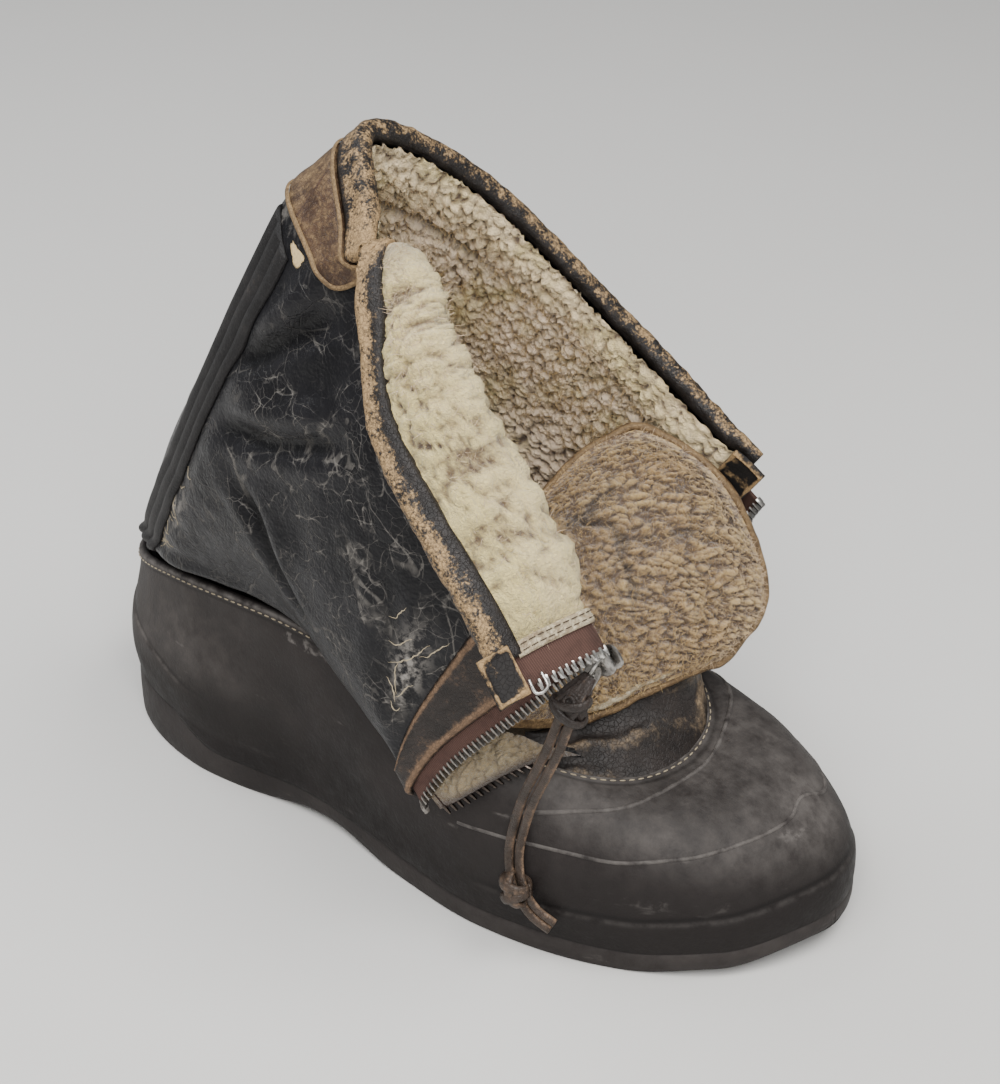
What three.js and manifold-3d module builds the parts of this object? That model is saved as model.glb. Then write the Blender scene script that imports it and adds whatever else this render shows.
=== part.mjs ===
// A slouched winter flying boot for the right foot: sheepskin shaft on a rubber bottom, front zip open.
// Millimetres. The toe points along +X, the outer side of the foot is -Y, the floor is Z = 0.
import * as THREE from "three";
import { mergeVertices } from "three/addons/utils/BufferGeometryUtils.js";
import Module from "manifold-3d";

const wasm = await Module();
wasm.setup();

const V = (x, y, z) => new THREE.Vector3(x, y, z);

// Driving dimensions
const GAP = 0.3;
const SEAT = 0.45;
const RUBBER_WALL = 3.2;
const SHEEPSKIN = 6.5;
const SEAM_EDGE = 2.4;
const SEAM_GAP = 1.3;
const BAND_THICK = 1.4;
const TAPE_WIDTH = 10;
const TAPE_THICK = 1.2;
const TEETH_WIDE = 3.0;
const TEETH_DEEP = 2.6;
const BINDING_THICK = 1.5;
const PIPING_RADIUS = 3.0;

// Sole sizes: z of the floor face and thickness of the outsole along the foot
const SOLE_TABLE = [
  { x: -155, under: 1.5, thick: 20.5 },
  { x: -140, under: 0, thick: 22 },
  { x: -72, under: 0, thick: 21 },
  { x: -25, under: 4.5, thick: 14.5 },
  { x: 15, under: 0, thick: 11 },
  { x: 60, under: 0, thick: 9 },
  { x: 108, under: 0, thick: 8.5 },
  { x: 138, under: 3.5, thick: 8 },
  { x: 160, under: 9, thick: 7 },
];

// Sole outline and rubber top line, once round the foot: heel, outer side, toe, inner side.
// rise, swell and brow are the handles of the wall's curve from the sole edge to the top line.
const ROUND_COLUMNS = ["at", "sole", "top", "rise", "swell", "brow", "lift", "band"];
const ROUND_TABLE = [
  ["heel back", [-153, 0], [-148, 0, 71], 24, 5, 2, -22, 0.62],
  ["heel corner", [-137, -30], [-138, -24, 73], 24, 5, 2, -22, 0.5],
  ["heel outer", [-96, -46], [-100, -40, 83], 26, 3, 2, -22, 0.2],
  ["waist outer", [-38, -45], [-42, -46, 88], 26, 1, 4, -22, 0.14],
  ["shank outer", [8, -53], [5, -50, 84], 26, 4, 6, -16, 0.14],
  ["ball outer", [52, -59], [44, -49, 76], 26, 5, 10, -8, 0.14],
  ["tread outer", [98, -52], [76, -38, 66], 28, 5, 14, 0, 0.15],
  ["toe outer", [139, -30], [93, -20, 60], 30, 4, 24, 4, 0.15],
  ["toe tip", [160, 7], [98, 3, 58.5], 30, 3, 30, 6, 0.16],
  ["toe inner", [147, 40], [92, 26, 61], 30, 4, 26, 4, 0.15],
  ["tread inner", [108, 57], [75, 41, 67], 28, 4, 14, 0, 0.15],
  ["ball inner", [56, 57], [43, 47, 76], 26, 4, 10, -8, 0.14],
  ["shank inner", [8, 42], [5, 46, 84], 28, 2, 6, -16, 0.14],
  ["waist inner", [-38, 34], [-42, 43, 88], 28, 1, 4, -22, 0.14],
  ["heel inner", [-96, 38], [-100, 38, 83], 26, 3, 2, -22, 0.2],
  ["heel inner corner", [-136, 27], [-138, 23, 73], 24, 5, 2, -22, 0.5],
].map((row) => Object.fromEntries(row.map((value, i) => [ROUND_COLUMNS[i], value])));

// Shaft sections above the rubber, a row for each section or fold of the slouched leather.
// Columns go round the leg from the outer zip edge by the back seam to the inner zip edge.
const SHAFT_COLUMNS = [
  "outerEdge", "outerFore", "outerMid", "outerRoll", "outerAft",
  "back", "innerAft", "innerFore", "innerEdge"];
const SHAFT_TABLE = [
  ["turn", [62, -45, 74], [12, -58, 87], [-44, -50, 97], [-76, -47, 96], [-106, -42, 93],
    [-144, -4, 82], [-98, 42, 94], [8, 55, 90], [70, 44, 75]],
  ["sag", [33, -70, 60], [18, -73, 82], [-38, -57, 107], [-70, -53, 107], [-100, -47, 106],
    [-138, -8, 95], [-92, 45, 107], [8, 72, 76], [48, 70, 62]],
  ["ankle", [42, -72, 84], [22, -77, 108], [-28, -66, 130], [-58, -60, 133], [-86, -51, 134],
    [-119, -13, 130], [-77, 46, 138], [10, 79, 96], [50, 75, 74]],
  ["calf", [72, -66, 119], [30, -71, 158], [-6, -66, 177], [-36, -60, 180], [-62, -52, 180],
    [-90, -18, 181], [-52, 43, 178], [16, 77, 128], [58, 74, 92]],
  ["shoulder", [95, -58, 145], [45, -59, 212], [26, -53, 234], [8, -46, 243], [-30, -49, 227],
    [-56, -18, 241], [-30, 38, 213], [26, 70, 156], [69, 71, 116]],
  ["roll", [91, -76, 146], [40, -68, 207], [21, -58, 234], [7, -50, 247], [-18, -45, 241],
    [-43, -15, 256], [-20, 35, 228], [32, 66, 171], [75, 69, 131]],
  ["collar", [85, -91, 142], [32, -77, 195], [15, -63, 227], [5, -54, 243], [-6, -39, 255],
    [-28, -10, 271], [-10, 32, 242], [38, 61, 185], [86, 66, 147]],
];
// Where each shaft column leaves the rubber, in steps of ROUND_TABLE
const SHAFT_FEET = [7.5, 4.4, 3, 2.35, 1.7, 0, -2, -4, -7.5];

// Curves

// Uniform Catmull-Rom value through keys at 0, 1, 2, ...
function through(keys, t, closed) {
  const n = keys.length;
  const last = closed ? n : n - 1;
  const s = closed ? ((t % n) + n) % n : Math.min(Math.max(t, 0), last);
  const i = Math.min(Math.floor(s), last - 1);
  const f = s - i;
  const key = (k) => {
    if (closed) return keys[(k + n) % n];
    if (k < 0) return keys[0].clone().multiplyScalar(2).sub(keys[1]);
    if (k >= n) return keys[n - 1].clone().multiplyScalar(2).sub(keys[n - 2]);
    return keys[k];
  };
  const [a, b, c, d] = [key(i - 1), key(i), key(i + 1), key(i + 2)];
  const weights = [
    -0.5 * f + f * f - 0.5 * f * f * f,
    1 - 2.5 * f * f + 1.5 * f * f * f,
    0.5 * f + 2 * f * f - 1.5 * f * f * f,
    -0.5 * f * f + 0.5 * f * f * f,
  ];
  return [a, b, c, d].reduce((sum, p, k) => sum.addScaledVector(p, weights[k]), V(0, 0, 0));
}

// Smooth value of a table column at x
function column(table, name, x) {
  if (x <= table[0].x) return table[0][name];
  const last = table.length - 1;
  if (x >= table[last].x) return table[last][name];
  const i = table.findIndex((row) => row.x > x) - 1;
  const f = (x - table[i].x) / (table[i + 1].x - table[i].x);
  const eased = f * f * (3 - 2 * f);
  return table[i][name] + (table[i + 1][name] - table[i][name]) * eased;
}

// Rubber bottom

const soleKeys = ROUND_TABLE.map((row) => V(row.sole[0], row.sole[1], 0));
const topKeys = ROUND_TABLE.map((row) => V(...row.top));
const handleKeys = ROUND_TABLE.map((row) => V(row.rise, row.swell, 0));
const browKeys = ROUND_TABLE.map((row) => V(row.brow, row.lift, 0));
const soleTop = (x) => column(SOLE_TABLE, "under", x) + column(SOLE_TABLE, "thick", x);

// Level way out from the foot at step r round the sole
function outward(r) {
  const along = through(soleKeys, r + 0.05, true).sub(through(soleKeys, r - 0.05, true));
  return V(along.y, -along.x, 0).normalize();
}

// Point of the rubber's outer face: r steps round the foot, v from 0 at the sole to 1 at the top line
function rubberFace(r, v) {
  const foot = through(soleKeys, r, true);
  foot.z = soleTop(foot.x) + SEAT;
  const top = through(topKeys, r, true);
  const handle = through(handleKeys, r, true);
  const brow = through(browKeys, r, true);
  const out = outward(r);
  const low = foot.clone().addScaledVector(out, handle.y).add(V(0, 0, handle.x));
  const high = top.clone().addScaledVector(out, brow.x).add(V(0, 0, brow.y));
  return new THREE.CubicBezierCurve3(foot, low, high, top).getPoint(v);
}

function faceNormal(face, a, b, step) {
  const da = face(a + step, b).sub(face(a - step, b));
  const db = face(a, Math.min(b + step, 1)).sub(face(a, Math.max(b - step, 0)));
  return da.cross(db).normalize();
}

// Bodies

// Closed body skinned over rings of points; an open run of rings gets an end face at each end
function bodyFromRings(rings, closed) {
  const m = rings[0].length;
  const n = rings.length;
  const index = [];
  const spans = closed ? n : n - 1;
  for (let i = 0; i < spans; i++) {
    for (let k = 0; k < m; k++) {
      const a = i * m + k;
      const b = i * m + ((k + 1) % m);
      const c = ((i + 1) % n) * m + ((k + 1) % m);
      const d = ((i + 1) % n) * m + k;
      index.push(a, b, c, a, c, d);
    }
  }
  if (!closed) {
    for (const [base, turn] of [[0, 1], [(n - 1) * m, 0]]) {
      for (let k = 0; k < m / 2 - 1; k++) {
        const quad = [base + k, base + k + 1, base + m - 2 - k, base + m - 1 - k];
        if (turn) quad.reverse();
        index.push(quad[0], quad[1], quad[2], quad[0], quad[2], quad[3]);
      }
    }
  }
  const geometry = new THREE.BufferGeometry();
  const flat = rings.flat().flatMap((p) => [p.x, p.y, p.z]);
  geometry.setAttribute("position", new THREE.Float32BufferAttribute(flat, 3));
  geometry.setIndex(index);
  return closedUp(geometry);
}

// Welds the corners, drops flattened facets and turns the body right side out
function closedUp(geometry) {
  geometry.deleteAttribute("normal");
  geometry.deleteAttribute("uv");
  const welded = mergeVertices(geometry, 1e-4);
  const p = welded.attributes.position;
  const at = (i) => new THREE.Vector3().fromBufferAttribute(p, i);
  const kept = [];
  let volume = 0;
  for (let i = 0; i < welded.index.count; i += 3) {
    const [a, b, c] = [0, 1, 2].map((k) => welded.index.getX(i + k));
    if (a === b || b === c || c === a) continue;
    kept.push([a, b, c]);
    volume += at(a).dot(at(b).cross(at(c)));
  }
  welded.setIndex(kept.flatMap((t) => (volume < 0 ? [t[0], t[2], t[1]] : t)));
  return welded;
}

function toSolid(geometry) {
  const body = closedUp(geometry.index ? geometry.clone() : mergeVertices(geometry.clone()));
  return new wasm.Manifold(new wasm.Mesh({
    numProp: 3,
    vertProperties: new Float32Array(body.attributes.position.array),
    triVerts: new Uint32Array(body.index.array),
  }));
}

function toGeometry(solid) {
  const mesh = solid.getMesh();
  const geometry = new THREE.BufferGeometry();
  const points = [];
  for (let i = 0; i < mesh.vertProperties.length; i += mesh.numProp) {
    points.push(mesh.vertProperties[i], mesh.vertProperties[i + 1], mesh.vertProperties[i + 2]);
  }
  geometry.setAttribute("position", new THREE.Float32BufferAttribute(points, 3));
  geometry.setIndex(Array.from(mesh.triVerts));
  return geometry;
}

function range(from, to, count) {
  return Array.from({ length: count + 1 }, (_, i) => from + ((to - from) * i) / count);
}

const mix = (a, b, f) => a + (b - a) * f;
const soft = (f) => Math.min(Math.max(f, 0), 1) ** 2 * (3 - 2 * Math.min(Math.max(f, 0), 1));

// Point across the foot at step r along the outer side, c from the outer edge to the inner edge
function acrossSole(r, c, inset) {
  const outer = through(soleKeys, r, true).addScaledVector(outward(r), -inset);
  const inner = through(soleKeys, 16 - r, true).addScaledVector(outward(16 - r), -inset);
  return outer.lerp(inner, c);
}

// Slab that fills the sole outline between two faces
function footSlab(inset, floor, ceiling, stationCount, acrossCount) {
  const rings = range(0.04, 7.96, stationCount).map((r) => {
    const low = range(0, 1, acrossCount).map((c) => {
      const p = acrossSole(r, c, inset);
      return V(p.x, p.y, floor(p.x));
    });
    const high = range(0, 1, acrossCount).map((c) => {
      const p = acrossSole(r, c, inset);
      return V(p.x, p.y, ceiling(p.x));
    });
    return [...low, ...high.reverse()];
  });
  return bodyFromRings(rings, false);
}

// Outsole with cross grooves in heel and tread
const GROOVE_WIDE = 3;
const GROOVE_DEEP = 2.2;
const GROOVES = [-132, -114, -96, 22, 40, 58, 76, 94];
let outsoleSolid = toSolid(footSlab(-0.6, (x) => column(SOLE_TABLE, "under", x), soleTop, 36, 4));
for (const x of GROOVES) {
  const groove = new THREE.BoxGeometry(GROOVE_WIDE, 160, GROOVE_DEEP * 2);
  groove.translate(x, 0, 0);
  outsoleSolid = outsoleSolid.subtract(toSolid(groove));
}
const outsole = toGeometry(outsoleSolid);

// Felt insole
const INSOLE_THICK = 4;
const insole = footSlab(
  RUBBER_WALL + 1.6, (x) => soleTop(x) + SEAT, (x) => soleTop(x) + SEAT + INSOLE_THICK, 26, 2);

// Rubber bottom: foxing and heel bumper are a step in its wall
const bandKeys = ROUND_TABLE.map((row) => V(row.band, 0, 0));
const BAND_STEP = 1.6;
function rubberRing(r) {
  const line = through(bandKeys, r, true).x;
  const levels = [0, line * 0.5, line - 0.025, line + 0.025, ...range(line + 0.025, 1, 5).slice(1)];
  const outer = levels.map((v) => {
    const step = v < line ? BAND_STEP : 0;
    return rubberFace(r, v).addScaledVector(faceNormal(rubberFace, r, v, 0.01), step);
  });
  const inner = [0, line * 0.5, ...range(line + 0.025, 1, 5)].map((v) => (
    rubberFace(r, v).addScaledVector(faceNormal(rubberFace, r, v, 0.01), -RUBBER_WALL)
  ));
  outer[0].z = soleTop(through(soleKeys, r, true).x) + SEAT;
  inner[0].z = outer[0].z;
  return [...outer, ...inner.reverse()];
}
const RUBBER_STATIONS = 48;
const rubberBottom = bodyFromRings(range(0, 16, RUBBER_STATIONS).slice(0, -1).map(rubberRing), true);

// Shaft
const shaftKeys = SHAFT_TABLE.map((row) => row.slice(1).map((p) => V(...p)));
const LAST_COLUMN = SHAFT_COLUMNS.length - 1;
const LAST_ROW = SHAFT_TABLE.length + 1;

// Step round the rubber at which shaft column c starts
function shaftFoot(c) {
  const i = Math.min(Math.max(Math.floor(c), 0), LAST_COLUMN - 1);
  return mix(SHAFT_FEET[i], SHAFT_FEET[i + 1], c - i);
}

// Leather face of the shaft: c columns round the leg, v rows up from the seam inside the rubber
function shaftFace(c, v) {
  const r = shaftFoot(c);
  const sink = RUBBER_WALL + SEAM_GAP;
  const tuck = rubberFace(r, 0.9).addScaledVector(faceNormal(rubberFace, r, 0.9, 0.01), -sink);
  const edge = rubberFace(r, 1);
  const climb = edge.clone().sub(rubberFace(r, 0.97)).normalize();
  const rim = edge.addScaledVector(faceNormal(rubberFace, r, 0.99, 0.01), -sink)
    .addScaledVector(climb, 1.5);
  const keys = [tuck, rim, ...shaftKeys.map((row) => through(row, c, false))];
  return through(keys, v, false);
}

function shaftNormal(c, v) {
  const h = 0.02;
  const dc = shaftFace(Math.min(c + h, LAST_COLUMN), v).sub(shaftFace(Math.max(c - h, 0), v));
  const dv = shaftFace(c, Math.min(v + h, LAST_ROW)).sub(shaftFace(c, Math.max(v - h, 0)));
  return dv.cross(dc).normalize();
}

// Point lifted off the leather face
const shaftAt = (c, v, lift) => shaftFace(c, v).addScaledVector(shaftNormal(c, v), lift);
// Thickness of the sheepskin, trimmed thin in the seams at the rubber and at the zip
function skin(c, v) {
  const inward = Math.min(c, LAST_COLUMN - c);
  const full = mix(SEAM_EDGE, SHEEPSKIN, soft((v - 0.8) / 1.2));
  return mix(SEAM_EDGE, full, soft(inward / 0.3));
}

// Row that lies the given way below the collar edge, measured along the leather
function rowBelow(c, below) {
  let row = LAST_ROW;
  let gone = 0;
  let here = shaftFace(c, row);
  while (gone < below) {
    const next = shaftFace(c, row - 0.02);
    gone += next.distanceTo(here);
    here = next;
    row -= 0.02;
  }
  return row;
}

// Levels of the shaft's facets: rows up the leg, levels that crowd where the leather turns over,
// then distances below the collar edge
const BINDING_LOW = 8.5;
const BAND_HIGH = 13.5;
const BAND_LOW = 37;
const BAND_LOW_ROLLED = 17;
const BAND_FROM = 3.2;
const LOW_LEVELS = [0, 1, 1.4, 1.75, 2.1, 2.5, 2.9, 3.3, 3.8, 4.3, 4.8];
const TURN_LEVELS = 8;
const BAND_LEVELS = 3;
const TURN_WEIGHT = 14;
// Lower edge of the collar band, which runs out under the rolled part of the collar
const bandLowAt = (c) => mix(BAND_LOW_ROLLED, BAND_LOW, soft((c - 2.6) / 1.0));
function turnRows(c) {
  const rows = range(LOW_LEVELS[LOW_LEVELS.length - 1], rowBelow(c, bandLowAt(c)), 120);
  const path = rows.map((v) => shaftFace(c, v));
  const measure = [0];
  for (let i = 1; i < rows.length; i++) {
    const step = path[i].clone().sub(path[i - 1]);
    const before = i > 1 ? path[i - 1].clone().sub(path[i - 2]) : step;
    measure.push(measure[i - 1] + step.length() + TURN_WEIGHT * step.angleTo(before));
  }
  return range(0, measure[measure.length - 1], TURN_LEVELS).slice(1).map((m) => {
    const i = Math.max(measure.findIndex((value) => value >= m - 1e-6), 1);
    return mix(rows[i - 1], rows[i], (m - measure[i - 1]) / (measure[i] - measure[i - 1]));
  });
}
const BACK = SHAFT_COLUMNS.indexOf("back");
const STAY_FROM = 4.1;
const STAY_TO = 4.7;
const STRIP = 0.13;
const SHAFT_STATIONS = [
  0, STRIP, 0.3, 0.55, 0.8, 1, 1.25, 1.5, 1.75, 2, 2.3, 2.6, 2.9, 3.2, 3.5, 3.8, STAY_FROM, 4.4, STAY_TO,
  BACK, 5.4, 5.7, 6, 6.3, 6.6, 6.85, 7.1, 7.4, 7.7,
  LAST_COLUMN - STRIP, LAST_COLUMN];
const highRows = SHAFT_STATIONS.map((c) => [
  ...turnRows(c),
  ...range(bandLowAt(c), BAND_HIGH, BAND_LEVELS).slice(1).map((below) => rowBelow(c, below)),
  rowBelow(c, BINDING_LOW), LAST_ROW]);
const rowsAt = (i) => [...LOW_LEVELS, ...highRows[i]];

const shaftPlain = bodyFromRings(SHAFT_STATIONS.map((c, i) => {
  const outer = rowsAt(i).map((v) => shaftFace(c, v));
  const inner = rowsAt(i).map((v) => shaftAt(c, v, -skin(c, v)));
  return [...outer, ...inner.reverse()];
}), false);

// Strip of leather laid on the shaft between two stations and two of its levels
function overlay(from, to, low, high, thick) {
  const picked = SHAFT_STATIONS.map((c, i) => ({ c, i }))
    .filter((s) => s.c > from - 0.01 && s.c < to + 0.01);
  return bodyFromRings(picked.map(({ c, i }) => {
    const rows = rowsAt(i).slice(low, high + 1);
    const under = rows.map((v) => shaftAt(c, v, GAP));
    const top = rows.map((v) => shaftAt(c, v, GAP + thick));
    return [...under, ...top.reverse()];
  }), false);
}
const bandLow = LOW_LEVELS.length + TURN_LEVELS - 1;
const bandHigh = bandLow + BAND_LEVELS;
const seamLevel = LOW_LEVELS.indexOf(1.75);
const zipLevel = LOW_LEVELS.indexOf(3.3);

const collarBand = overlay(BAND_FROM, 7.7, bandLow, bandHigh, BAND_THICK);
const backstay = overlay(STAY_FROM, STAY_TO, seamLevel, bandLow - 1, BAND_THICK);
const zipBandOuter = overlay(0, STRIP, zipLevel, bandHigh, BAND_THICK);
const zipBandInner = overlay(LAST_COLUMN - STRIP, LAST_COLUMN, zipLevel, bandHigh, BAND_THICK);

// Rolled binding over the collar edge
const bindingLevel = bandHigh + 1;
const collarBinding = bodyFromRings(SHAFT_STATIONS.map((c, i) => {
  const up = shaftFace(c, LAST_ROW).sub(shaftFace(c, LAST_ROW - 0.05)).normalize();
  const rows = rowsAt(i).slice(bindingLevel);
  const wrap = (lift) => {
    const outside = rows.map((v) => shaftAt(c, v, lift));
    const inside = rows.map((v) => shaftAt(c, v, -skin(c, v) - lift));
    outside.push(outside[outside.length - 1].clone().addScaledVector(up, lift));
    inside.push(inside[inside.length - 1].clone().addScaledVector(up, lift));
    return [...outside, ...inside.reverse()];
  };
  return [...wrap(GAP), ...wrap(GAP + BINDING_THICK).reverse()];
}), false);

// Zip: tape and teeth stand out from the shaft's front edge. The outer zip is in two runs, since the
// leather folds back on itself at the sag: the long upper run and the lip along the rubber.
const FOOT_ROW = 1.35;
const FOLD_LOW = 2.8;
const FOLD_HIGH = 3.2;
const TAPE_FROM = 1.4;
const ZIP_RUNS = {
  outer: { side: 1, from: FOLD_HIGH, to: rowBelow(0, BAND_HIGH), steps: 26 },
  lip: { side: 1, from: FOOT_ROW, to: FOLD_LOW, steps: 9 },
  inner: { side: -1, from: FOOT_ROW, to: rowBelow(LAST_COLUMN, BAND_HIGH), steps: 32 },
};
function zipFrame(side, v) {
  const c = side > 0 ? 0 : LAST_COLUMN;
  const edge = shaftFace(c, v);
  const normal = shaftNormal(c, v);
  const away = edge.clone().sub(shaftFace(c + side * 0.06, v));
  away.addScaledVector(normal, -away.dot(normal)).normalize();
  return { edge, normal, away };
}
function zipStrip(run, near, far, deep, high) {
  return bodyFromRings(range(run.from, run.to, run.steps).map((v) => {
    const { edge, normal, away } = zipFrame(run.side, v);
    const at = (a, n) => edge.clone().addScaledVector(away, a).addScaledVector(normal, n);
    return [at(near, high), at(far, high), at(far, deep), at(near, deep)];
  }), false);
}
const tapeHigh = -0.6;
const tapeDeep = tapeHigh - TAPE_THICK;
const teethFrom = TAPE_WIDTH + 3 * GAP;
const teethHigh = (tapeHigh + tapeDeep + TEETH_DEEP) / 2;
const teethDeep = teethHigh - TEETH_DEEP;
const teethStrip = (run, room) => zipStrip(
  run, teethFrom + TEETH_WIDE + room, teethFrom - room, teethDeep - room, teethHigh + room);
const tapeStrip = (run, room) => zipStrip(
  run, TAPE_FROM - room, TAPE_WIDTH + room, tapeDeep - room, tapeHigh + room);
let shaftSolid = toSolid(shaftPlain);
for (const run of Object.values(ZIP_RUNS)) {
  shaftSolid = shaftSolid.subtract(toSolid(tapeStrip(run, GAP)));
}
const shaft = toGeometry(shaftSolid);

// Tongue: ribs from its seam on the wall behind the outer zip edge to its free edge
const TONGUE_TABLE = [
  { rib: "front edge", root: [47, -68, 92], fold: [72, -22, 80], mid: [84, -4, 84], far: [93, 14, 86],
    tip: [101, 30, 88] },
  { rib: "front", root: [42, -69, 96], fold: [60, -30, 86], mid: [76, 0, 101], far: [91, 26, 106],
    tip: [102, 46, 98] },
  { rib: "middle", root: [37, -70, 101], fold: [48, -34, 92], mid: [62, 0, 118], far: [80, 33, 128],
    tip: [97, 53, 113] },
  { rib: "rear", root: [31, -71, 106], fold: [36, -34, 98], mid: [47, 2, 131], far: [62, 36, 147],
    tip: [81, 50, 142] },
  { rib: "rear edge", root: [25, -72, 112], fold: [26, -30, 106], mid: [33, -2, 136], far: [38, 26, 152],
    tip: [55, 46, 161] },
];
const tongueKeys = TONGUE_TABLE.map((row) => (
  [row.root, row.fold, row.mid, row.far, row.tip].map((p) => V(...p))
));
const TIP = 4;
const TONGUE_THICK = 6.5;
function tongueFace(p, q) {
  const trimmed = q * (1 - 0.075 * Math.abs(p / 2 - 1) ** 6);
  return through(tongueKeys.map((row) => through(row, trimmed, false)), p, false);
}
function tongueNormal(p, q) {
  const h = 0.03;
  const dp = tongueFace(Math.min(p + h, 4), q).sub(tongueFace(Math.max(p - h, 0), q));
  const dq = tongueFace(p, Math.min(q + h, TIP)).sub(tongueFace(p, Math.max(q - h, 0)));
  return dq.cross(dp).normalize();
}
const tongueAt = (p, q, lift) => tongueFace(p, q).addScaledVector(tongueNormal(p, q), lift);
const tongueThick = (q) => mix(SEAM_EDGE, TONGUE_THICK, soft(q / 0.9));
const tonguePlain = bodyFromRings(range(0, 4, 10).map((p) => {
  const ribs = [0, 0.45, 0.8, ...range(1.1, TIP, 8)];
  const wool = ribs.map((q) => tongueFace(p, q));
  const leather = ribs.map((q) => tongueAt(p, q, -tongueThick(q)));
  return [...wool, ...leather.reverse()];
}), false);

// Round cord or piping along a curve
function tube(points, radius, sides, steps, closed) {
  const ring = range(0, sides, sides).slice(0, -1).map((k) => (
    new THREE.Vector2(Math.cos((k * 2 * Math.PI) / sides), Math.sin((k * 2 * Math.PI) / sides))
      .multiplyScalar(radius)
  ));
  const curve = new THREE.CatmullRomCurve3(points, closed, "centripetal");
  const shape = new THREE.Shape(ring);
  return closedUp(new THREE.ExtrudeGeometry(shape, { extrudePath: curve, steps, bevelEnabled: false }));
}

// Piping round the free edge of the tongue
const PIPING_OFF = PIPING_RADIUS + GAP;
function tongueEdge(p, q, outP, outQ) {
  const h = 0.05;
  const here = tongueAt(p, q, -TONGUE_THICK / 2);
  const sideways = outP ? tongueFace(p, q).sub(tongueFace(p - outP * h, q)) : V(0, 0, 0);
  const endways = outQ ? tongueFace(p, q).sub(tongueFace(p, q - h)) : V(0, 0, 0);
  const off = sideways.normalize().add(endways.normalize()).normalize();
  return here.addScaledVector(off, PIPING_OFF);
}
const pipingRoute = [
  ...range(1.05, TIP - 0.25, 5).map((q) => tongueEdge(0, q, -1, 0)),
  tongueEdge(0, TIP, -1, 1).lerp(tongueEdge(0.12, TIP, 0, 1), 0.3),
  ...range(0.4, 3.6, 8).map((p) => tongueEdge(p, TIP, 0, 1)),
  tongueEdge(4, TIP, 1, 1).lerp(tongueEdge(3.88, TIP, 0, 1), 0.3),
  ...range(TIP - 0.25, 1.25, 5).map((q) => tongueEdge(4, q, 1, 0)),
];
const tonguePiping = tube(pipingRoute, PIPING_RADIUS, 8, 30, false);
const pipingSeat = tube(pipingRoute, PIPING_RADIUS + GAP, 8, 30, false);
// Piece of the shaft's wall with room round it, for the tongue to be cut against
const seamWall = bodyFromRings(SHAFT_STATIONS.filter((c) => c < 1.8).map((c) => {
  const rows = range(3.5, 5, 6);
  const outer = rows.map((v) => shaftAt(c, v, GAP));
  const inner = rows.map((v) => shaftAt(c, v, -skin(c, v) - GAP));
  return [...outer, ...inner.reverse()];
}), false);
const tongue = toGeometry(toSolid(tonguePlain).subtract(toSolid(pipingSeat)).subtract(toSolid(seamWall)));

// Leather tab over each end of the binding, on the wool side
const TAB_THICK = 1.6;
function collarTab(side) {
  const from = side > 0 ? 0 : LAST_COLUMN;
  const to = side > 0 ? 0.16 : LAST_COLUMN - 0.16;
  const base = (c, v) => skin(c, v) + 2 * GAP + BINDING_THICK;
  return bodyFromRings(range(from, to, 2).map((c) => {
    const rows = [12, 8, 4, 0].map((below) => rowBelow(c, below));
    const top = rows.map((v) => shaftAt(c, v, -base(c, v) - TAB_THICK));
    const under = rows.map((v) => shaftAt(c, v, -base(c, v)));
    return [...top, ...under.reverse()];
  }), false);
}

// Zip slider on the outer teeth, with a bail for the pull
const SLIDER_ROW = 5.92;
const SLIDER_LONG = 11;
const SLIDER_WIDE = 11;
const SLIDER_HIGH = 6.4;
const sliderFrame = zipFrame(1, SLIDER_ROW);
const sliderAlong = sliderFrame.away.clone().cross(sliderFrame.normal).normalize();
const sliderBasis = new THREE.Matrix4().makeBasis(sliderFrame.away, sliderAlong, sliderFrame.normal);
sliderBasis.setPosition(sliderFrame.edge.clone()
  .addScaledVector(sliderFrame.away, teethFrom - 2.5 + SLIDER_WIDE / 2)
  .addScaledVector(sliderFrame.normal, -1));
const PULL_TIP = V(97, -69.5, 118.5);
const PULL_THICK = 1.4;
const sliderTop = V(0, 0, SLIDER_HIGH / 2).applyMatrix4(sliderBasis);
const pullStart = sliderTop.clone().addScaledVector(sliderFrame.normal, 1.45);
const pullAlong = PULL_TIP.clone().sub(pullStart).normalize();
const pullUp = sliderFrame.normal.clone()
  .addScaledVector(pullAlong, -sliderFrame.normal.dot(pullAlong)).normalize();
const pullAcross = pullUp.clone().cross(pullAlong);
const pullBasis = new THREE.Matrix4().makeBasis(pullAlong, pullAcross, pullUp).setPosition(pullStart);
const bailAlong = pullAlong.clone()
  .addScaledVector(sliderFrame.normal, -pullAlong.dot(sliderFrame.normal)).normalize();
const bailBasis = new THREE.Matrix4()
  .makeBasis(bailAlong, sliderFrame.normal, bailAlong.clone().cross(sliderFrame.normal))
  .setPosition(sliderTop.clone().addScaledVector(sliderFrame.normal, -0.6));
const bail = toSolid(new THREE.TorusGeometry(4.4, 0.8, 6, 16).applyMatrix4(bailBasis));
const sliderBlock = new THREE.BoxGeometry(SLIDER_WIDE, SLIDER_LONG, SLIDER_HIGH).applyMatrix4(sliderBasis);
const zipSlider = toGeometry(toSolid(sliderBlock).add(bail)
  .subtract(toSolid(teethStrip(ZIP_RUNS.outer, GAP))).subtract(toSolid(tapeStrip(ZIP_RUNS.outer, GAP))));

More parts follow.
